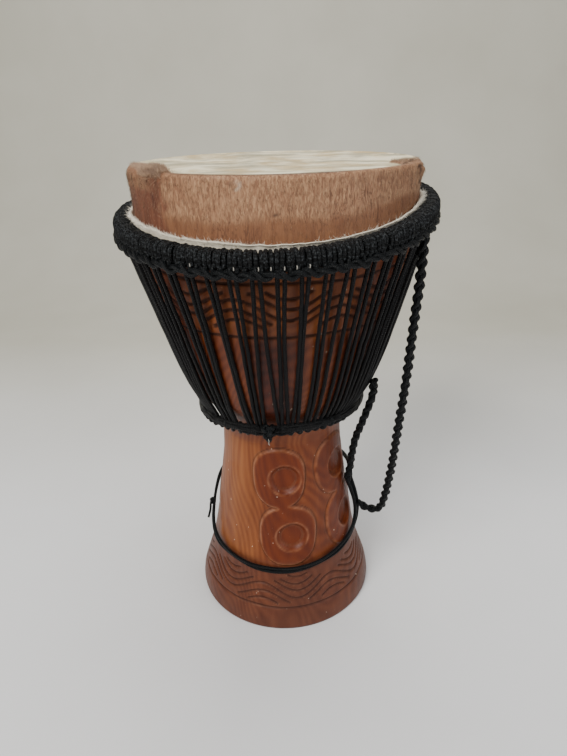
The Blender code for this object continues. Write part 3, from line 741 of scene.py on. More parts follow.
def plait_group():
    """Three strands plaited along the curve."""
    tree, given, out = geometry_group("plait_along_curve", {
        "Strand Radius": 0.0021, "Half Width": 0.0036, "Half Depth": 0.0021, "Lay": 0.030, "Sides": 8,
        "Step": 0.0016, "Material": MATERIAL,
    })
    curve = evenly(tree, given)
    length = node(tree, "GeometryNodeSplineParameter", output="Length")
    turn = times(tree, maths(tree, "DIVIDE", length, given["Lay"]), FULL_TURN)
    inputs = {"W": length, "Scale": 30.0, "Detail": 1.0}
    loose = node(tree, "ShaderNodeTexNoise", inputs, "Fac", noise_dimensions="1D")
    slack = remapped(tree, loose, 0.35, 0.65, 0.90, 1.30)
    normal = node(tree, "GeometryNodeInputNormal")
    side = vectors(tree, "CROSS_PRODUCT", node(tree, "GeometryNodeInputTangent"), normal)
    strands = tree.nodes.new("GeometryNodeJoinGeometry")
    for number in range(3):
        phase = plus(tree, turn, number * FULL_TURN / 3)
        across = times(tree, maths(tree, "SINE", phase), given["Half Width"], slack)
        deep = times(tree, maths(tree, "SINE", times(tree, phase, 2.0)), given["Half Depth"])
        offset = vectors(tree, "ADD", scaled(tree, normal, across), scaled(tree, side, deep))
        tube = sheathed(tree, moved(tree, curve, offset), given["Strand Radius"], given["Sides"])
        fill(tree, strands, {0: tube})
    return finished(tree, strands.outputs[0], given["Material"], out)


def wraps_group():
    """A turn of rope at each point, each stood by the point's own turn and a little unlike the next."""
    tree, given, out = geometry_group("wraps_at_points", {
        "Half Thickness": 0.0085, "Half Height": 0.0102, "Squareness": 2.6, "Rope Radius": 0.0021,
        "Turn Points": 22, "Sides": 6, "Unevenness": 0.05, "Seed": 1, "Material": MATERIAL,
    })
    seed, unevenness = given["Seed"], given["Unevenness"]
    power = maths(tree, "DIVIDE", 2.0, given["Squareness"])
    spot = parts(tree, node(tree, "GeometryNodeInputPosition"))
    squared = {}
    for axis, half in ((0, given["Half Thickness"]), (1, given["Half Height"])):
        bulge = maths(tree, "POWER", maths(tree, "ABSOLUTE", spot[axis]), power)
        squared[axis + 1] = times(tree, bulge, maths(tree, "SIGN", spot[axis]), half)
    place = node(tree, "ShaderNodeCombineXYZ", squared)
    loop = circle(tree, given["Turn Points"])
    loop = node(tree, "GeometryNodeSetPosition", {"Geometry": loop, "Position": place})
    turn = sheathed(tree, loop, given["Rope Radius"], given["Sides"])
    jitter = scaled(tree, random_vector(tree, seed), unevenness)
    facing = vectors(tree, "ADD", read_back(tree, "turn", "FLOAT_VECTOR"), jitter)
    least = maths(tree, "SUBTRACT", 1.0, times(tree, unevenness, 0.5))
    size = times(tree, random_size(tree, least, 1.0, seed), read_back(tree, "size"))
    return finished(tree, copies_at(tree, given["Geometry"], turn, facing, size), given["Material"], out)


def hair_group():
    """Short hairs on the skin, combed along its own comb direction."""
    tree, given, out = geometry_group("hair_on_skin", {
        "Density": 60000.0, "Hair Length": 0.006, "Hair Radius": 0.00013, "Stray": 0.35, "Seed": 3,
        "Cover Name": TEXT, "Material": MATERIAL,
    })
    seed = given["Seed"]
    inputs = {
        "Mesh": given["Geometry"], "Distance Min": 0.0, "Density Max": given["Density"],
        "Density Factor": read_back(tree, given["Cover Name"]), "Seed": seed,
    }
    roots = node(tree, "GeometryNodeDistributePointsOnFaces", inputs, distribute_method="POISSON")
    inputs = {"Vertices": 3, "Radius Bottom": given["Hair Radius"], "Depth": given["Hair Length"]}
    hair = node(tree, "GeometryNodeMeshCone", inputs, fill_type="NONE")
    stray = scaled(tree, random_vector(tree, seed), given["Stray"])
    lie = vectors(tree, "ADD", read_back(tree, "comb", "FLOAT_VECTOR"), stray)
    facing = node(tree, "FunctionNodeAlignRotationToVector", {"Vector": lie}, axis="Z")
    hairs = copies_at(tree, roots, hair, facing, random_size(tree, 0.45, 1.15, seed))
    return finished(tree, hairs, given["Material"], out)


ROPE_GROUP = rope_group()
PLAIT_GROUP = plait_group()
WRAPS_GROUP = wraps_group()
HAIR_GROUP = hair_group()


def applied(source, name, group, inputs, keep=False):
    """Runs a geometry node group on an object and returns the plain mesh it makes."""
    modifier = source.modifiers.new("nodes", "NODES")
    modifier.node_group = group
    for item in group.interface.items_tree:
        if item.in_out == "INPUT" and item.name in inputs:
            modifier[item.identifier] = inputs[item.name]
    source.update_tag()
    graph = bpy.context.evaluated_depsgraph_get()
    mesh = bpy.data.meshes.new_from_object(source.evaluated_get(graph))
    mesh.name = name
    made = placed(name, mesh)
    if keep:
        source.modifiers.remove(modifier)
    else:
        bpy.data.objects.remove(source, do_unlink=True)
    return made


def curves(name, runs, closed=False):
    data = bpy.data.curves.new(name, "CURVE")
    data.dimensions = "3D"
    for run in runs:
        spline = data.splines.new("POLY")
        spline.points.add(len(run) - 1)
        for index, point in enumerate(run):
            spline.points[index].co = (*point, 1.0)
        spline.use_cyclic_u = closed
    return placed(name, data)


def roped(name, runs, radius, material, closed=False, sides=8, step=0.004, wobble=0.0, seed=1):
    inputs = {
        "Radius": radius, "Sides": sides, "Step": step, "Wobble": wobble, "Seed": seed, "Material": material,
    }
    return applied(curves(name + "_route", runs, closed), name, ROPE_GROUP, inputs)


def settle(piece, slot, *nodes):
    """Lets a piece ride on the drum and hides the parts of the model that it stands for; slot is not used."""
    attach(piece, "root")
    if nodes:
        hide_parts(*nodes)


# The wooden shell
GROOVE_FULLNESS = 1.3
WAVE_STEPS = 24
FIGURE_SPAN = (0.085, 0.272)
FIGURE_REACH = 42.0
HAND_SLIP = 0.0006


def groove(far, width, depth):
    """The depth of a rounded groove at points so far from its middle."""
    return depth * np.clip(1.0 - (far / width) ** 2, 0.0, 1.0) ** GROOVE_FULLNESS


def carve(depths, heights, azimuths, line, width, depth):
    """Lets a groove into the field of depths along a line of (azimuth, height) points."""
    step = azimuths[1] - azimuths[0]
    for (a0, h0), (a1, h1) in zip(line, line[1:]):
        rows = np.where((heights > min(h0, h1) - width) & (heights < max(h0, h1) + width))[0]
        if not len(rows):
            continue
        radius = float(shell_radius((h0 + h1) / 2))
        reach = math.degrees(width / radius)
        low = math.floor((min(a0, a1) - reach - azimuths[0]) / step)
        high = math.ceil((max(a0, a1) + reach - azimuths[0]) / step)
        columns = np.arange(low, high + 1)
        x = np.radians(azimuths[0] + columns * step - a0) * radius
        across, up = np.meshgrid(x, heights[rows] - h0)
        dx, dy = math.radians(a1 - a0) * radius, h1 - h0
        share = np.clip((across * dx + up * dy) / (dx * dx + dy * dy), 0.0, 1.0)
        far = np.hypot(across - share * dx, up - share * dy)
        at_least(depths, np.ix_(rows, columns % len(azimuths)), groove(far, width, depth))


def wave_lines(wave, arcs_below, arcs_above, seed):
    """The carved wave and the arcs nested under its crests and in its hollows, as a hand cuts them."""
    hand = np.random.default_rng(seed)
    count, crest, middle, swing = wave["count"], wave["crest"], wave["middle"], wave["swing"]
    sway = [hand.uniform(-0.0011, 0.0011) for _ in range(2 * count)]
    line = []
    for index in range(count * WAVE_STEPS + 1):
        azimuth = crest + index * 360.0 / (count * WAVE_STEPS)
        turn = math.radians(count * (azimuth - crest))
        spot = (2 * index / WAVE_STEPS) % (2 * count)
        bend = float(np.interp(spot, range(2 * count + 1), sway + sway[:1]))
        line.append((azimuth, middle + swing * math.cos(turn) + bend))
    lines = [line]
    for number in range(count):
        for above, arcs in ((False, arcs_below), (True, arcs_above)):
            centre = crest + (number + (0.5 if above else 0.0)) * 360.0 / count
            upward = 1 if above else -1
            for level, spread in enumerate(arcs, start=1):
                shift = hand.uniform(-0.9, 0.9)
                raise_by = hand.uniform(-0.0009, 0.0009)
                half = spread * hand.uniform(0.86, 1.1)
                arc = []
                for share in np.linspace(-1.0, 1.0, 13):
                    fall = swing * (1 - math.cos(math.radians(count * share * half))) * 0.94
                    height = middle - upward * (swing - level * wave["step"] - fall)
                    arc.append((centre + shift + share * half, height + raise_by))
                lines.append(arc)
    return lines


def lobe_arc(lobe, start, end):
    x, z, half_width, half_height = lobe
    arc = []
    for angle in np.linspace(math.radians(start), math.radians(end), 40):
        ways = (math.cos(angle), math.sin(angle))
        across, up = (math.copysign(abs(way) ** (2 / LOBE_POWER), way) for way in ways)
        arc.append((x + half_width * across, z + half_height * up))
    return arc


def waist_turn(lobe):
    """The turn on a lobe, in degrees, at which the waist meets it."""
    return math.degrees(math.asin((WAIST_HALF_WIDTH / lobe[2]) ** (LOBE_POWER / 2)))


def figure_outline():
    upper, lower = waist_turn(UPPER_LOBE), waist_turn(LOWER_LOBE)
    return lobe_arc(UPPER_LOBE, upper - 90, 270 - upper) + lobe_arc(LOWER_LOBE, 90 + lower, 450 - lower)


def inside_by(x, z, outline):
    """How far each point lies inside the outline; negative outside it."""
    nearest = np.full(x.shape, 1.0)
    inside = np.zeros(x.shape, bool)
    for (x0, z0), (x1, z1) in zip(outline, outline[1:] + outline[:1]):
        dx, dz = x1 - x0, z1 - z0
        share = np.clip(((x - x0) * dx + (z - z0) * dz) / (dx * dx + dz * dz), 0.0, 1.0)
        nearest = np.minimum(nearest, np.hypot(x - x0 - share * dx, z - z0 - share * dz))
        if dz:
            inside ^= ((z0 > z) != (z1 > z)) & (x < dx * (z - z0) / dz + x0)
    return np.where(inside, nearest, -nearest)


def shell_heights():
    """Rows of points up the shell, close together where it is carved."""
    spans = (
        (0.0060, 0.0290, 0.0040), (0.0290, 0.0860, 0.0014), (0.0860, 0.2700, 0.0022),
        (0.2700, 0.4360, 0.0110), (0.4360, 0.5030, 0.0014), (0.5030, 0.5900, 0.0110),
    )
    rows = [h for low, high, step in spans for h in np.arange(low, high - step / 4, step)]
    return np.array([0.0035, 0.0045] + rows + [SHELL_HEIGHT - RIM_ROUND])


def carved_lines(azimuths, heights):
    """The depth of the carved waves, arcs and rings at each point."""
    cut = np.zeros((len(heights), len(azimuths)))
    for line in wave_lines(FOOT_WAVE, (17.0, 10.5), (17.0, 12.0, 7.5), 4):
        carve(cut, heights, azimuths, line, LINE_WIDTH, LINE_DEPTH)
    for line in wave_lines(BOWL_WAVE, (14.5, 9.5), (14.5, 9.5), 9):
        carve(cut, heights, azimuths, line, LINE_WIDTH * 1.2, LINE_DEPTH * 1.25)
    for index, height in enumerate(RING_LINES):
        wander = lattice(20 + index, azimuths, 0.0, 24.0, 0.1) * 0.0007
        far = np.abs(heights[:, None] - height - wander[None, :])
        cut = np.maximum(cut, groove(far, LINE_WIDTH, LINE_DEPTH))
    return cut


def carved_figures(azimuths, heights, radius, cut):
    """How far the looped figures stand out, where their edges are rubbed pale with a painted highlight and
    where they are oiled. Deepens cut.
    """
    raised, edge, oiled = (np.zeros(cut.shape) for _ in range(3))
    outline = figure_outline()
    rows = np.where((heights > FIGURE_SPAN[0]) & (heights < FIGURE_SPAN[1]))[0]
    for number, azimuth in enumerate(FIGURE_AZIMUTHS):
        offset = turned_by(azimuths, azimuth)
        columns = np.where(np.abs(offset) < FIGURE_REACH)[0]
        place = np.ix_(rows, columns)
        az, up = np.meshgrid(azimuths[columns], heights[rows])
        slip_x, slip_z = (lattice(seed + number, az, up, 9.0, 0.03) * HAND_SLIP for seed in (30, 40))
        x = radius[place] * np.sin(np.radians(offset[columns]))[None, :] + slip_x
        z = up + slip_z
        within = inside_by(x, z, outline)
        kept = 1 - FIGURE_WEAR[number]
        lift = FIGURE_RELIEF * kept * ease(within, -FIGURE_BEVEL * 0.9, FIGURE_BEVEL * 1.1)
        at_least(cut, place, 0.0007 * hump(within, -FIGURE_BEVEL * 1.5, 0.0011))
        at_least(edge, place, hump(within, FIGURE_BEVEL * 0.4, 0.0016) * kept)
        at_least(oiled, place, ease(within, -0.001, 0.006) * kept)
        for dish_x, dish_z in DISHES:
            far = np.hypot(x - dish_x, z - dish_z)
            depth = np.clip(DISH_DEPTH - (x - dish_x) ** 2 / (2 * radius[place]), 0.0012, None)
            lift -= depth * ease(far, DISH_RADIUS + 0.0004, DISH_RADIUS - DISH_SLOPE)
            at_least(edge, place, 0.8 * hump(far, DISH_RADIUS + 0.0006, 0.0012))
            at_least(cut, place, 0.00045 * hump(far, DISH_RADIUS - DISH_SLOPE - 0.0006, 0.0010))
        raised[place] += lift
    return raised, edge, oiled


def wood_zones(az, up, cut, edge, oiled):
    """What the wood's material reads at each point: its grooves, darkened by dirt and painted shade; its
    edges, rubbed pale with a painted highlight; and its zones of colour: the oiled figures, painted light on
    the stem's left, painted shade on its front and right and on the bowl under the ropes, and the dusty foot.
    """
    shoulder = hump(np.sqrt(np.clip(1 - cut / LINE_DEPTH, 0, 1)), 0.9, 0.1) * (cut > 1e-5)
    left = ease(turned_by(az, -52.0), -60, -25) * ease(turned_by(az, -52.0), 42, 14)
    middle = ease(turned_by(az, -10.0), -20, 0) * (1 - left)
    stem = ease(up, 0.085, 0.10) * ease(up, 0.275, 0.262)
    # How dark the grooves are made, by dirt and by painted shade: less on the foot, most on the bowl under
    # the ropes
    grime_and_shade = np.interp(up, (0.095, 0.105, 0.28, 0.30), (0.60, 1.0, 1.0, 2.3))
    banded = ease(up, 0.425, 0.45)
    front_band = banded * ease(np.abs(turned_by(az, -3.0)), 44, 16)
    blotches = 0.85 + 0.3 * lattice(12, az, up, 8.0, 0.08)
    dust = np.clip(0.85 + 0.25 * lattice(13, az, up, 16.0, 0.05), 0, 1)
    shade = 0.62 - 0.24 * banded - 0.26 * front_band + 0.42 * lattice(14, az, up, 7.0, 0.12)
    zones = {
        "cut": cut / (LINE_DEPTH * 0.8) * grime_and_shade,
        # Pale edges on the figures, the dishes' rims and the grooves' shoulders: rubbing and a painted
        # highlight
        "edge": np.maximum(edge, 0.3 * shoulder),
        # Paler wood: painted light on the stem's left side, which faces the lamp, and a paler band at the
        # bowl's front
        "lit_and_pale": (stem * left + 0.6 * front_band) * blotches * (1 - oiled),
        # The oiled tone: the figures' own oil, and at 0.35 over the stem's front and right, painted shade on
        # the side away from the lamp
        "oiled": oiled * stem * 0.92 + 0.35 * stem * middle,
        "dusty": ease(up, 0.104, 0.088) * dust,
        "shaded": ease(up, 0.285, 0.33) * np.clip(shade, 0, 1),
    }
    return {key: np.clip(zone, 0, 1) for key, zone in zones.items()}


def hollow_profile():
    """The hollow from the foot up to the rim, as (radius, height)."""
    profile = [(FOOT_BORE_RADIUS, 0.0)]
    for share in np.linspace(0.08, 1.0, 12):
        widening = (FOOT_BORE_RADIUS - STEM_BORE_RADIUS) * (1 - share) ** 2
        profile.append((STEM_BORE_RADIUS + widening, FOOT_BORE_DEPTH * share))
    throat = STEM_HEIGHT + THROAT_HEIGHT
    profile.append((STEM_BORE_RADIUS, (FOOT_BORE_DEPTH + STEM_HEIGHT) / 2))
    profile.append((STEM_BORE_RADIUS, throat - 0.004))
    profile.append((STEM_BORE_RADIUS + 0.008, throat + 0.006))
    for height in np.linspace(STEM_HEIGHT + BOWL_FLOOR_HEIGHT, SHELL_HEIGHT - RIM_ROUND, 10):
        profile.append((float(shell_radius(height)) - BOWL_WALL - 0.002 * (height > 0.57), height))
    profile.append((RIM_RADIUS - RIM_WALL + RIM_ROUND, SHELL_HEIGHT))
    return profile


def make_shell():
    columns = SHELL_COLUMNS
    azimuths = spaced(columns)
    heights = shell_heights()
    az, up = np.meshgrid(azimuths, heights)
    radius = shell_radius(up)
    cut = carved_lines(azimuths, heights)
    raised, edge, oiled = carved_figures(azimuths, heights, radius, cut)
    uneven = lattice(7, az, up, 11.0, 0.028) * 0.00035 + lattice(8, az, up, 5.0, 0.05) * 0.00015
    chisel = lattice(9, az, up, 4.0, 0.020) * 0.00010 * ease(up, 0.30, 0.34)
    outer = band(radius - cut + raised + uneven + chisel, up, np.radians(az)).reshape(-1, 3)
    rim = ((RIM_RADIUS - 0.0014, SHELL_HEIGHT - 0.0010), (RIM_RADIUS - RIM_ROUND, SHELL_HEIGHT))
    foot = ((FOOT_RADIUS - 0.0010, 0.0010), (FOOT_RADIUS - FOOT_ROUND, 0.0))
    points = [outer] + [band(*edge_ring, np.radians(azimuths)) for edge_ring in rim + foot]
    rim_last = len(outer) + columns
    foot_first = rim_last + columns
    foot_last = foot_first + columns
    bore_first = foot_last + columns
    faces = ring_faces(0, columns, len(heights) + 2)
    faces += bridge(foot_first, 0, columns) + bridge(foot_last, foot_first, columns)
    hollow = hollow_profile()
    bore_azimuths = spaced(BORE_COLUMNS)
    for bore_radius, height in hollow:
        ripple = 1 + 0.006 * lattice(15, bore_azimuths, height, 15.0, 0.03) * (0.01 < height < 0.57)
        points.append(band(bore_radius * ripple, height, np.radians(bore_azimuths)))
    faces += [face[::-1] for face in ring_faces(bore_first, BORE_COLUMNS, len(hollow))]
    bore_last = bore_first + (len(hollow) - 1) * BORE_COLUMNS
    faces += stepped_faces(rim_last, columns, bore_last, BORE_COLUMNS)
    faces += stepped_faces(foot_last, columns, bore_first, BORE_COLUMNS, turned=True)
    points = np.concatenate(points)
    values = {}
    for key, zone in wood_zones(az, up, cut, edge, oiled).items():
        values[key] = np.zeros(len(points))
        values[key][: zone.size] = zone.ravel()
    values["dusty"][foot_first:bore_first] = 1.0
    values["dusty"][bore_first:] = 0.8
    return mesh_object("carved_shell", points, faces, WOOD, values)


# The goatskin. Each way of combing is how far the hairs lie outwards and how far upwards.
COMBS = {"none": (0.0, 0.0), "down": (0.22, -1.0), "top": (0.6, 0.75), "up": (0.75, 0.55)}
SEAT_RADIUS = 0.166
EDGE_ROUND = 0.0048
FOLD_RISE = 0.0085
FOLD_WIDTH = 0.0015
UNDERSIDE_DEPTH = 0.0062


def lip_height(azimuth):
    """How far the trimmed edge of the skin stands above the crown ring."""
    azimuths = (
        -180, -120, -98, -86, -74, -62, -45, -34, -28, -12, 0, 15, 40, 52, 66, 76, 86, 98, 130, 180,
    )
    heights = (
        2.0, 1.2, 0.5, 1.0, 3.2, 4.8, 4.2, 3.0, 3.6, 2.8, 1.8, 1.0, 1.1, 1.9, 3.8, 3.6, 1.4, 0.5, 1.2, 2.0,
    )
    return np.interp(turned_by(azimuth, 0.0), azimuths, heights) / 1000.0


def wrinkle(azimuths, radius):
    """How the membrane rises and falls, in small folds all over and two long ones."""
    turn = np.radians(azimuths)
    x, y = radius * np.sin(turn), -radius * np.cos(turn)
    fold = np.sin(46 * x + 9 * y + 3 * np.sin(21 * y)) * 0.35 + lattice(61, azimuths, radius, 22.0, 0.035)
    long_fold = hump(y - 0.5 * x, -0.02, 0.012) - hump(y + 0.35 * x, 0.05, 0.016)
    rise = fold * 0.0010 + long_fold * 0.0016 - 0.0009
    return rise * ease(radius, 0.0, 0.03) * ease(radius, 0.148, 0.130)


def skin_marks(points, haired):
    """The red patch, the dark marks with a painted shadow line along the rim at the front, the pale scar and
    the brown tuft on the skin.
    """
    x, y, z = points.T
    az = np.degrees(np.arctan2(x, -y))
    out = np.hypot(x, y)
    depth = HEAD_HEIGHT - z
    patch_edge = turned_by(az, 0) + 3.0 * lattice(74, az, z, 4.0, 0.008)
    right = ease(patch_edge, -39, -43) * haired
    patch = ease(patch_edge, -96, -88) * right * (0.35 + 0.65 * ease(depth, 0.014, 0.021))
    patch = np.maximum(patch, ease(patch_edge, -50, -47) * right * 0.9)
    spot = hump(az, 0.2, 0.9) * hump(z, 0.565, 0.0016)
    scar_x, scar_z = (az + 12.5) / 1.5, (z - 0.5905) / 0.0035
    scar = hump(np.hypot(scar_x, scar_z), 1.0, 0.30) * 0.55
    wander = 2.0 * lattice(75, az, z, 2.0, 0.004)
    tear = hump(az - wander, 66.0, 1.1) * ease(depth, 0.026, 0.018) * ease(depth, 0.0008, 0.003)
    tear = np.maximum(tear, hump(out, 0.1560, 0.0012) * ease(np.abs(turned_by(az, 62.0)), 11, 6)) * haired
    tuft = ease(az, -57, -51) * ease(az, -40, -44) * ease(depth, 0.0075, 0.0045) * haired * (out > 0.145)
    tuft_tone = 0.75 * tuft * (0.55 + 0.45 * lattice(76, az, x, 3.0, 0.004))
    # A painted shadow line at the front, where the membrane meets the collar's edge
    rim_shadow = hump(depth, 0.0005, 0.0007) * (out > 0.1592) * 0.62 * ease(np.abs(turned_by(az, -6.0)), 40, 24)
    marks_and_rim_shadow = np.clip(spot + scar * (scar_x < 0.3) + tear + rim_shadow + tuft_tone, 0, 1)
    return tuft, np.clip(patch, 0, 1), marks_and_rim_shadow, 0.5 * scar * (scar_x > 0)


def make_skin():
    azimuths = spaced(SKIN_COLUMNS)
    turn = np.radians(azimuths)
    outward = band(1.0, 0.0, turn)
    lift = crown_lift(SEAT_RADIUS * np.sin(turn), -SEAT_RADIUS * np.cos(turn))
    tops, lows = CROWN_TOP + lift, CROWN_BOTTOM + lift
    behind = ease(np.abs(turned_by(azimuths, 0.0)), 75, 105)
    bunch = hump(turned_by(azimuths, -66.0), 0.0, 25.0, 4) + hump(turned_by(azimuths, 66.0), 0.0, 10.0, 4)
    jut = 1.0 + 0.9 * hump(turned_by(azimuths, 68.0), 0.0, 9.0)
    rows, flags, combs = [], [], []

    def rough(seed, across, height=0.0, tall=0.1):
        return lattice(seed, azimuths, height, across, tall)

    def add(radius, height, haired=0.0, pale=0.0, comb="none", cover=0.0, low=0.0, fringe=0.0):
        rows.append(band(radius, height, turn))
        flags.append([np.broadcast_to(value, turn.shape) for value in (haired, pale, cover, low, fringe)])
        out, rise = COMBS[comb]
        combs.append(outward * out + np.array([0.0, 0.0, rise]))

    # The membrane and its bunched corners
    edge_wander = rough(62, 7.0) * 0.0022 + rough(63, 2.5) * 0.0010
    hair_line = 0.1589 + 0.004 * behind + edge_wander * 0.3 - bunch * (0.019 + 0.007 * rough(64, 4.0))
    inner, outer = np.linspace(0.004, 0.130, 18), np.linspace(0.134, 0.1575, 12)
    for radius in np.concatenate([inner, outer, (0.1585, 0.1590, 0.1595)]):
        haired = ease(radius, hair_line - 0.0008, hair_line + 0.0012)
        tufted = bunch * haired * (0.0006 + 0.0014 * (0.5 + 0.5 * rough(65, 2.5, radius, 0.005)))
        height = HEAD_HEIGHT - SKIN_THICKNESS + wrinkle(azimuths, radius) + tufted
        add(radius, height, haired, cover=haired * bunch, comb="top")
    # The bend over the rim
    bulge = bunch * jut * (0.0016 + 0.0016 * rough(66, 3.0))
    for angle in np.linspace(12, 90, 6):
        reach = math.radians(angle)
        ridge = 0.0005 * rough(67, 3.0, angle / 1000.0, 0.02)
        radius = COLLAR_RADIUS - EDGE_ROUND + (EDGE_ROUND + ridge) * math.sin(reach) + bulge * 0.6
        height = HEAD_HEIGHT - 0.0050 + 0.0050 * math.cos(reach) - 0.0002
        add(radius, height, 1.0 - behind * ease(angle, 80, 50), cover=0.25 + 0.75 * bunch, comb="down")
    # The collar
    for share in np.linspace(0.03, 1.0, 26):
        height = (HEAD_HEIGHT - 0.0056) * (1 - share) + (tops - 0.008) * share
        ripple = rough(68, 3.2, height, 0.05) * 0.00025 + rough(69, 14.0, height, 0.05) * 0.0004
        swell = bulge * 0.9 * ease(share, 0.55, 0.0)
        fringe = ease(share, 0.25, 0.0)
        side = 0.06 * np.abs(np.sin(turn / 2))
        low = 0.85 * ease(share + side + 0.07 * rough(70, 17.0, height, 0.04), 0.44, 0.62)
        cover = (1 - low) * (0.16 + 0.10 * fringe) + 0.5 * bunch * fringe + 0.02
        radius = COLLAR_RADIUS + np.maximum(ripple, -0.0005) + swell
        add(radius, height, 1.0, cover=cover, low=low, comb="down")
    # The fold under the crown ring and the trimmed edge
    add(COLLAR_RADIUS - 0.0004, lows + FOLD_RISE, 1.0)
    lip = lip_height(azimuths) * (1 + 0.22 * rough(71, 2.4) + 0.14 * rough(72, 1.2))
    add(COLLAR_RADIUS + LIP_GAP + 0.0001, lows + FOLD_RISE, pale=1.0)
    add(COLLAR_RADIUS + LIP_GAP + 0.0001, tops - 0.003, pale=1.0)
    curl = 0.0010 * rough(73, 3.0)
    fuzz = {"fringe": np.clip(lip_height(azimuths) / 0.005 - 0.35, 0.08, 1.0), "comb": "up"}
    for share in (0.25, 0.6, 1.0):
        radius = COLLAR_RADIUS + LIP_GAP + 0.0002 + (curl + 0.0022) * share**2
        add(radius, tops + lip * share, pale=1.0, **fuzz)
    for share in (1.0, 0.6, 0.2):
        radius = LIP_RADIUS + 0.0004 + (curl + 0.0024) * share**2
        add(radius, tops + lip * share * 0.96 - 0.0004, pale=1.0, **fuzz)
    add(LIP_RADIUS - 0.0001, tops - 0.004, pale=1.0)
    add(LIP_RADIUS - 0.0001, lows + FOLD_RISE - FOLD_WIDTH, pale=0.6)
    # The inner face
    inner_collar = COLLAR_RADIUS - SKIN_THICKNESS
    add(inner_collar, lows + FOLD_RISE - FOLD_WIDTH, 0.6)
    add(inner_collar, HEAD_HEIGHT - 0.0060, 0.2)
    add(inner_collar - 0.0034, HEAD_HEIGHT - 0.0025, 0.1)
    add(0.1300, HEAD_HEIGHT - UNDERSIDE_DEPTH)
    add(0.0040, HEAD_HEIGHT - UNDERSIDE_DEPTH)

    columns = SKIN_COLUMNS
    middle = len(rows) * columns
    last = middle - columns
    faces = [face[::-1] for face in ring_faces(0, columns, len(rows))]
    for column in range(columns):
        after = (column + 1) % columns
        faces += [(column, after, middle), (last + after, last + column, middle + 1)]
    ends = [(0.0, 0.0, HEAD_HEIGHT - 0.0014), (0.0, 0.0, HEAD_HEIGHT - UNDERSIDE_DEPTH)]
    points = np.concatenate(rows + [ends])
    haired, pale, cover, low, fringe = (np.concatenate([*field, [0.0, 0.0]]) for field in zip(*flags))
    combs = np.concatenate(combs + [np.zeros((2, 3))])
    tuft, patch, marks_and_rim_shadow, scar = skin_marks(points, haired)
    combs[tuft > 0.05] += np.array([0.0, 0.0, 1.9])
    values = {
        "haired": haired, "pale": np.clip(pale + scar, 0, 1), "cover": cover, "low": low, "fringe": fringe,
        "tuft": tuft, "patch": patch, "marks_and_rim_shadow": marks_and_rim_shadow, "comb": combs,
    }
    return mesh_object("goatskin", points, faces, SKIN, values)


# Ropes
def given_way(azimuth):
    """Where a strand comes to stand once its neighbours have drawn together beside the gaps."""
    moved_to = azimuth
    for centre, give in WOOD_GAPS:
        offset = float(turned_by(azimuth, centre))
        moved_to += GATHERING * math.copysign(give, offset) * math.exp(-abs(offset) / SPREAD_REACH)
    return moved_to


def over_bowl(height, clear):
    """The radius that keeps clear of the bowl, measured square to its wall."""
    step = 0.002
    slope = (shell_radius(height + step) - shell_radius(height - step)) / (2 * step)
    return float(shell_radius(height) + clear * math.hypot(1.0, slope))


def lower_ring_inner():
    lean = math.hypot(math.tan(math.radians(LOWER_LEAN_X)), math.tan(math.radians(LOWER_LEAN_Y)))
    top = LOWER_RING_HEIGHT + LOWER_RING_TALL / 2
    return float(shell_radius(top + lean * float(shell_radius(top)))) + FIT_GAP


LOWER_INNER = lower_ring_inner()
LOWER_MIDDLE = LOWER_INNER + LOWER_RING_THICK / 2


def leaning(azimuth, radius, height, lift):
    """A point that leans and rides up as its ring does."""
    place = around(azimuth, radius, height)
    place.z += lift(place.x, place.y)
    return place


def outward_from(place):
    return Vector((place.x, place.y, 0.0)).normalized()


def taut(low, top, clear):
    """The (radius, height) corners of a rope pulled tight over the bowl between two points."""
    line = [low]
    between = [(over_bowl(h, clear), h) for h in np.arange(low[1] + 0.006, top[1] - 0.004, 0.006)]
    for point in between + [top]:
        while len(line) > 1:
            (r0, h0), (r1, h1) = line[-2:]
            if (r1 - r0) * (point[1] - h0) > (point[0] - r0) * (h1 - h0):
                break
            line.pop()
        line.append(point)
    return line


def strand(number, hand):
    loop, side = divmod(number, 2)
    pair = FIRST_LOOP + 360.0 * loop / LOOPS
    sign = 1 if side else -1
    top_azimuth = pair + sign * PAIR_HALF_ANGLE
    low_azimuth = given_way(pair + sign * 360.0 / LOOPS / 4) + hand.uniform(-0.8, 0.8)
    top_radius = CROWN_INNER + CROWN_THICK - ROPE_TOP_INSET + 0.0065
    top = leaning(top_azimuth, top_radius, CROWN_BOTTOM, crown_lift).z + 0.002
    low_height = LOWER_RING_HEIGHT + LOWER_RING_TALL / 2
    low = leaning(low_azimuth, LOWER_MIDDLE, low_height, lower_lift).z - 0.001
    radii, heights = zip(*taut((LOWER_MIDDLE, low), (top_radius, top), ROPE_RADIUS + FIT_GAP))
    bow = hand.uniform(-1.0, 1.0)
    points = []
    for share in np.linspace(0.0, 1.0, 22):
        height = low + (top - low) * share
        azimuth = low_azimuth + (top_azimuth - low_azimuth) * share**0.9 + bow * math.sin(math.pi * share)
        points.append(around(azimuth, float(np.interp(height, heights, radii)) + 0.0002, height))
    return points


def make_tension_rope():
    hand = np.random.default_rng(11)
    runs = [strand(number, hand) for number in range(2 * LOOPS)]
    return roped("laced_rope", runs, ROPE_RADIUS * ROPE_FULLNESS, ROPE, step=0.006, wobble=0.0015)


def stations(name, places):
    """A cloud of points, each with the turn and the size that a wrap there takes."""
    spots, turns, sizes = zip(*places)
    mesh = bpy.data.meshes.new(name)
    mesh.from_pydata([tuple(spot) for spot in spots], [], [])
    layer = mesh.attributes.new("turn", "FLOAT_VECTOR", "POINT")
    layer.data.foreach_set("vector", np.array(turns, np.float32).ravel())
    layer = mesh.attributes.new("size", "FLOAT", "POINT")
    layer.data.foreach_set("value", np.array(sizes, np.float32))
    return placed(name, mesh)


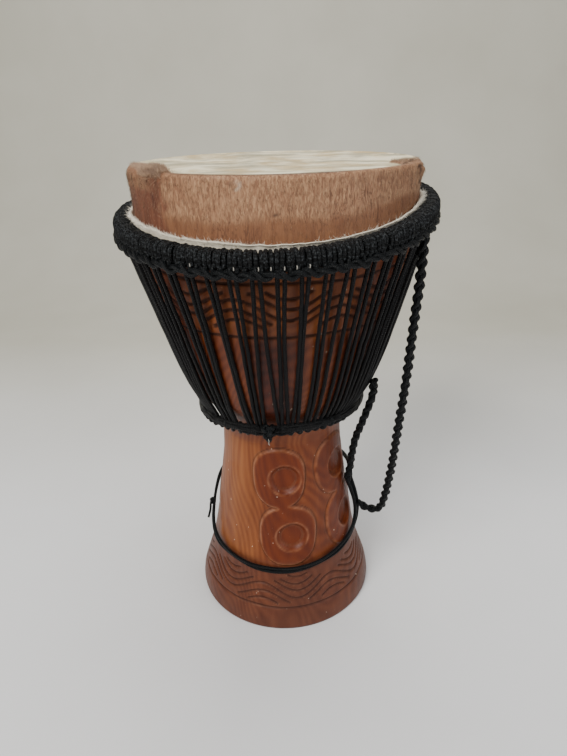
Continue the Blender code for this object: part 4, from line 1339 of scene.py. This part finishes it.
def ring_stations(name, count, radius, height, lift, twist=0.0, bunch=1, swell=0.0, slant=0.0):
    """Points round a leaning ring, in bunches of a few. The wraps' own plane runs out along +Y."""
    hand = np.random.default_rng(31)
    slants = slant * hand.uniform(-1.0, 1.0, count)
    bulks = 1.0 + 0.25 * swell * hand.uniform(-1.0, 1.0, count)
    places = []
    for index in range(count):
        number, part = divmod(index, bunch)
        off_middle = part - (bunch - 1) / 2
        azimuth = 360.0 * (index - 1.2 * swell * off_middle) / count
        facing = azimuth + 180.0 + twist + slants[number]
        size = bulks[number] * (1.0 + swell * (0.5 - abs(off_middle))) if bunch > 1 else 1.0
        places.append((leaning(azimuth, radius, height, lift), (0.0, 0.0, math.radians(facing)), size))
    return stations(name, places)


def make_crown_ring():
    middle = CROWN_INNER + CROWN_THICK / 2
    points = ring_stations(
        "crown_places", CROWN_WRAPS, middle, CROWN_HEIGHT + 0.0034, crown_lift, 4.0,
        bunch=3, swell=0.05, slant=6.0,
    )
    inputs = {
        "Half Thickness": CROWN_THICK / 2 - 0.0019, "Half Height": CROWN_TALL / 2 - 0.0046,
        "Squareness": 3.0, "Rope Radius": 0.0023, "Turn Points": 24, "Sides": 8, "Unevenness": 0.11,
        "Seed": 5, "Material": RING_ROPE,
    }
    return applied(points, "crown_wraps", WRAPS_GROUP, inputs)


def on_crown(azimuth, out, up):
    """A point at the crown ring's outer face: out from its greatest radius, up from its underside."""
    return leaning(azimuth, CROWN_INNER + CROWN_THICK + out, CROWN_BOTTOM + up, crown_lift)


def make_crown_knots():
    """The row of hitches that the laced rope is threaded through, along the ring's lower edge."""
    hand = np.random.default_rng(23)
    steps = 12
    azimuths = np.arange(LOOPS * steps) * 360.0 / (LOOPS * steps)
    sway = [lattice(24 + side, azimuths, 0.0, 5.0, 0.1) for side in range(2)]
    runs = []
    for side in range(2):
        run = []
        for index, azimuth in enumerate(azimuths):
            turn = FULL_TURN * index / steps
            around_it = turn + side * math.pi + 0.4 * float(sway[side][index])
            scallop = 0.0015 * math.cos(turn + 0.8)
            up = 0.0036 + 0.0024 * math.cos(around_it) + scallop + 0.0006 * float(sway[1 - side][index])
            run.append(on_crown(FIRST_LOOP + azimuth, -0.0022 + 0.0016 * math.sin(around_it), up))
        runs.append(run + run[:1])
    for index in range(LOOPS * 3):
        azimuth = FIRST_LOOP + (index + hand.uniform(-0.2, 0.2)) * 120.0 / LOOPS
        bar = []
        for share in np.linspace(0.0, 1.0, 7):
            lean = hand.uniform(-0.15, 0.15)
            out = -0.0052 + 0.0022 * math.sin(math.pi * share)
            bar.append(on_crown(azimuth + lean, out, 0.0030 + 0.0090 * share))
        runs.append(bar)
    return roped("crown_hitches", runs, 0.0025, CORD, step=0.0024, wobble=0.0008, seed=4)


def make_glints():
    """Pale slivers at the front where the iron hoop shows between the turns: painted glints on it."""
    sliver = ((0.0, -0.0012, 0.0088), (0.1, -0.0006, 0.0104), (0.0, -0.0012, 0.0120))
    runs = [[on_crown(azimuth + aside, out, up) for aside, out, up in sliver] for azimuth in GLINTS]
    # The glints are painted in the pale thread's colour
    return roped("hoop_glints", runs, 0.0006, THREAD, sides=6, step=0.001)


def make_crown_core():
    """The dark bulk of the hoop and hidden wraps, so that no light shows between the turns."""
    columns, sides = 144, 12
    points = []
    for side in range(sides):
        angle = FULL_TURN * side / sides
        middle = CROWN_INNER + CROWN_THICK / 2 - 0.0014
        radius = middle + (CROWN_THICK / 2 - 0.0030) * math.cos(angle)
        height = CROWN_HEIGHT + (CROWN_TALL / 2 - 0.0030) * math.sin(angle)
        points += [leaning(360.0 * column / columns, radius, height, crown_lift) for column in range(columns)]
    faces = ring_faces(0, columns, sides) + bridge((sides - 1) * columns, 0, columns)
    return mesh_object("crown_core", points, faces, RING_ROPE)


def make_lower_ring():
    radius, height = LOWER_MIDDLE - 0.0006, LOWER_RING_HEIGHT - 0.0014
    points = ring_stations("lower_places", LOWER_WRAPS, radius, height, lower_lift, 38.0)
    inputs = {
        "Half Thickness": LOWER_RING_THICK / 2 - 0.0018, "Half Height": LOWER_RING_TALL / 2 - 0.0006,
        "Squareness": 2.3, "Rope Radius": 0.0028, "Turn Points": 16, "Sides": 8, "Unevenness": 0.20,
        "Seed": 8, "Material": CORD,
    }
    return applied(points, "lower_wraps", WRAPS_GROUP, inputs)


def make_lower_core():
    """The hoop inside the ring and the loose strands that run along its outside."""
    azimuths = np.arange(288) * 360.0 / 288

    def ringed(out, up):
        spots = zip(azimuths, LOWER_MIDDLE + out, LOWER_RING_HEIGHT + up)
        return [leaning(azimuth, radius, height, lower_lift) for azimuth, radius, height in spots]

    still = np.zeros(len(azimuths))
    hoop = roped("lower_hoop", [ringed(still, still)], 0.0050, ROPE, closed=True, sides=10, step=0.006)
    strands = []
    for number, height in enumerate((0.0036, 0.0, -0.0040)):
        up = height + 0.0022 * lattice(80 + number, azimuths, 0.0, 6.0, 0.1)
        out = 0.0027 - 0.3 * abs(height) + 0.0009 * lattice(90 + number, azimuths, 0.0, 4.0, 0.1)
        strands.append(ringed(out, up))
    return hoop, roped("lower_strands", strands, 0.0023, ROPE, closed=True, step=0.003)


def trefoil(centre, outward, size, squash, count=60):
    """A closed knotted line that faces outward."""
    up = Vector((0.0, 0.0, 1.0))
    side = up.cross(outward).normalized()
    line = []
    for index in range(count):
        t = FULL_TURN * index / count
        across = (math.sin(t) + 2 * math.sin(2 * t)) / 3
        rise = (math.cos(t) - 2 * math.cos(2 * t)) / 3
        deep = -math.sin(3 * t)
        line.append(centre + side * across * size[0] + up * rise * size[1] + outward * deep * squash)
    return line


def knotted(name, loops, radius, step=0.0015):
    """Closed turns of cord, each given by its centre, its size and how deep it is."""
    lines = [trefoil(centre, outward, size, squash) for centre, outward, size, squash in loops]
    return roped(name, lines, radius, CORD, closed=True, step=step)


def make_knots():
    front_radius = LOWER_INNER + LOWER_RING_THICK + KNOT_RADIUS + FIT_GAP
    centre = leaning(FRONT_KNOT_AZIMUTH, front_radius, LOWER_RING_HEIGHT, lower_lift)
    out = outward_from(centre)
    high, below = centre + Vector((0.0, 0.0, 0.0050)), centre - Vector((0.0, 0.0, 0.0044))
    loops = [
        (high - out * 0.0012, out, (0.0060, 0.0048), 0.0024),
        (below - out * 0.0020, out, (0.0046, 0.0056), 0.0022),
    ]
    settle(knotted("front_knot_turns", loops, 0.0026), "black_rope", "front_knot")
    stops = (
        (0.002, 0.0006, -0.006), (0.003, 0.0012, -0.009), (0.002, 0.0006, -0.012), (0.001, 0.0014, -0.0148),
    )
    tail = [centre + out * far + Vector((aside, 0.0, up)) for far, aside, up in stops]
    thread = roped("front_knot_thread", [smooth_through(tail, 12)], 0.0005, THREAD, sides=6, step=0.0015)
    settle(thread, "black_rope")
    middle = side_knot_middle()
    out = outward_from(middle)
    loops = [(middle - out * 0.001, out, (0.0058, 0.0066), 0.0028)]
    settle(knotted("side_knot_turns", loops, 0.0027), "black_rope", "side_knot")
    tail = [tie_point(*stop) for stop in TAIL_ROUTE]
    out = outward_from(tail[1])
    hanging = smooth_through([tail[1] - out * 0.001] + tail[2:], 14)
    settle(roped("foot_knot_tail", [hanging], 0.0017, CORD, step=0.002), "black_rope", "foot_knot")
    loops = [(tail[1] - out * 0.0022, out, (0.0034, 0.0040), 0.0018)]
    settle(knotted("foot_knot_turns", loops, 0.0019, 0.0012), "black_rope")


def side_knot_middle():
    height = LOWER_RING_HEIGHT + SIDE_KNOT_RISE
    clear = 2 * ROPE_RADIUS + 3 * FIT_GAP + KNOT_RADIUS
    return around(SIDE_KNOT_AZIMUTH, over_bowl(height, clear), height)


def tie_point(azimuth, height, stand_off):
    """A point of the foot cord on the wood, or over a figure's foot where it crosses one."""
    figures_foot = LOWER_LOBE[1] - LOWER_LOBE[3]
    over = min(1.0, max(0.0, (height + TIE_RADIUS - figures_foot) / TIE_RADIUS + 1.0))
    radius = float(shell_radius(height)) + TIE_RADIUS + 2 * FIT_GAP + stand_off + over * FIGURE_RELIEF
    return around(azimuth, radius, height)


def tie_turn(turn):
    """The route of one of the foot cord's two turns, the second beside the first."""
    run = []
    last = len(TIE_ROUTE) - 1
    for index, (azimuth, height, stand_off) in enumerate(TIE_ROUTE):
        before = TIE_ROUTE[max(0, index - 1)]
        after = TIE_ROUTE[min(last, index + 1)]
        radius = float(shell_radius(height))
        along = math.radians(after[0] - before[0]) * radius
        rise = after[1] - before[1]
        step = turn * TIE_CORD_STEP / math.hypot(along, rise)
        run.append(tie_point(azimuth + math.degrees(rise * step / radius), height - along * step, stand_off))
    return run


def make_foot_tie():
    tucked = tie_point(-288.5, 0.1895, 0.0042)
    run = smooth_through(tie_turn(1) + tie_turn(0) + [tucked], 240)
    return roped("foot_cords", [run], TIE_RADIUS, CORD, sides=10)


def make_bundle():
    """The slack ends that lie beside the cords where the straps join them."""
    runs = []
    for shift, nudge in ((-0.0043, 0.3), (-0.0030, 1.3), (0.0036, 0.7)):
        run = []
        for index, (azimuth, height, stand_off) in enumerate(TIE_ROUTE[:6]):
            gone = index / 5
            held = max(0.0, stand_off + shift * (1 - gone))
            run.append(tie_point(azimuth + (nudge - 0.5) * 2.4 * (1 - gone), height + 0.0024 * gone, held))
        runs.append(smooth_through([run[0] + Vector((0.0, 0.0, 0.0065))] + run, 40))
    return roped("bundle_cords", runs, 0.0021, CORD, sides=10, step=0.003)


def strap_routes():
    x, y = STRAP_TOP_PLACE
    top = Vector((x, y, CROWN_BOTTOM + crown_lift(x, y) - 3 * FIT_GAP))
    _, _, joined, *_ = tie_turn(0)
    out = outward_from(joined)
    below = joined + out * 0.0130 + Vector((0, 0, -0.0070))
    end = joined + out * (TIE_RADIUS + 3 * FIT_GAP)
    long = smooth_through([top, *STRAP_LONG_ROUTE, below, end], 40)
    top = side_knot_middle() + Vector((0, 0, -SIDE_KNOT_REACH - 2 * FIT_GAP))
    start, *_ = tie_turn(1)
    end = start + Vector((0, 0, 3 * FIT_GAP))
    short = smooth_through([top, *STRAP_SHORT_ROUTE, end], 20)
    return {"long": long, "short": short}


def make_straps():
    for which, route in strap_routes().items():
        name = "strap_plait_" + which
        inputs = {
            "Strand Radius": 0.0029, "Half Width": 0.0030, "Half Depth": 0.0024, "Lay": 0.038, "Sides": 8,
            "Step": 0.0018, "Material": CORD,
        }
        plait = applied(curves(name + "_route", [route]), name, PLAIT_GROUP, inputs)
        settle(plait, "black_rope", "strap_" + which)


# The pieces
HAIRS = {
    "hide_hair": {"Density": 800000.0, "Hair Length": 0.0044, "Cover Name": "cover"},
    "brown_tuft": {
        "Density": 3500000.0, "Hair Length": 0.0080, "Hair Radius": 0.00019, "Stray": 0.5, "Seed": 9,
        "Cover Name": "tuft",
    },
    "lip_hair": {
        "Density": 1500000.0, "Hair Length": 0.0062, "Hair Radius": 0.00019, "Stray": 0.75, "Seed": 6,
        "Cover Name": "fringe",
    },
}


def make_hide():
    skin = make_skin()
    hairs = []
    for name, inputs in HAIRS.items():
        hairs.append(applied(skin, name, HAIR_GROUP, {**inputs, "Material": HAIR}, keep=True))
    settle(skin, "goatskin", "goatskin_head")
    for hair in hairs:
        settle(hair, "goatskin")


make_straps()
settle(make_shell(), "carved_wood", "drum_shell")
make_hide()
settle(make_crown_ring(), "black_rope", "crown_ring")
settle(make_crown_core(), "black_rope")
settle(make_crown_knots(), "black_rope")
settle(make_glints(), "black_rope")
settle(make_tension_rope(), "black_rope", "tension_rope")
settle(make_lower_ring(), "black_rope", "lower_ring")
for core in make_lower_core():
    settle(core, "black_rope")
make_knots()
settle(make_foot_tie(), "black_rope", "foot_tie")
settle(make_bundle(), "black_rope")


# Studio
SWEEP_RADIUS = 0.9
SWEEP_START = 1.2
SWEEP_REACH = 4.0


def make_studio():
    material, tree, place = new_material("pale_paper")
    soft = noise(tree, place, 3.0)
    floor = two_tone(tree, soft, 0.3, 0.7, (0.76, 0.76, 0.77), (0.80, 0.80, 0.81))
    wall = two_tone(tree, soft, 0.3, 0.7, (0.55, 0.53, 0.45), (0.60, 0.58, 0.50))
    color = two_tone(tree, parts(tree, place)[1], 0.15, 1.0, floor, wall)
    surfaced(material, {"Base Color": color, "Roughness": remapped(tree, soft, 0.3, 0.7, 0.85, 0.95)})
    line = [(-SWEEP_REACH, 0.0), (SWEEP_START, 0.0)]
    for turn in np.linspace(0.1, math.pi / 2, 14):
        line.append((SWEEP_START + SWEEP_RADIUS * math.sin(turn), SWEEP_RADIUS * (1 - math.cos(turn))))
    line.append((SWEEP_START + SWEEP_RADIUS, SWEEP_REACH))
    count = len(line)
    points = [(x, y, z) for x in (-SWEEP_REACH, SWEEP_REACH) for y, z in line]
    faces = [(i, count + i, count + i + 1, i + 1) for i in range(count - 1)]
    mesh_object("studio_sweep", points, faces, material)


def area_light(name, place, target, size, power, color):
    data = bpy.data.lights.new(name, "AREA")
    data.size = size
    data.energy = power
    data.color = color
    light = placed(name, data)
    light.location = place
    light.rotation_euler = (Vector(target) - Vector(place)).to_track_quat("-Z", "Y").to_euler()


def make_lights():
    area_light("window", (-1.25, -1.75, 2.2), (0.0, 0.0, 0.3), 1.4, 84.0, (1.0, 0.98, 0.94))
    area_light("fill", (1.9, -1.3, 1.2), (0.0, 0.0, 0.3), 2.0, 26.0, (0.97, 0.98, 1.0))
    area_light("top", (0.2, 0.7, 2.4), (0.0, 0.1, 0.4), 1.8, 30.0, (1.0, 0.99, 0.96))
    world = bpy.data.worlds.new("soft_room")
    world.use_nodes = True
    background = world.node_tree.nodes["Background"]
    fill(world.node_tree, background, {0: (0.86, 0.87, 0.88, 1.0), 1: 0.28})
    bpy.context.scene.world = world


make_studio()
make_lights()
bpy.context.view_layer.update()
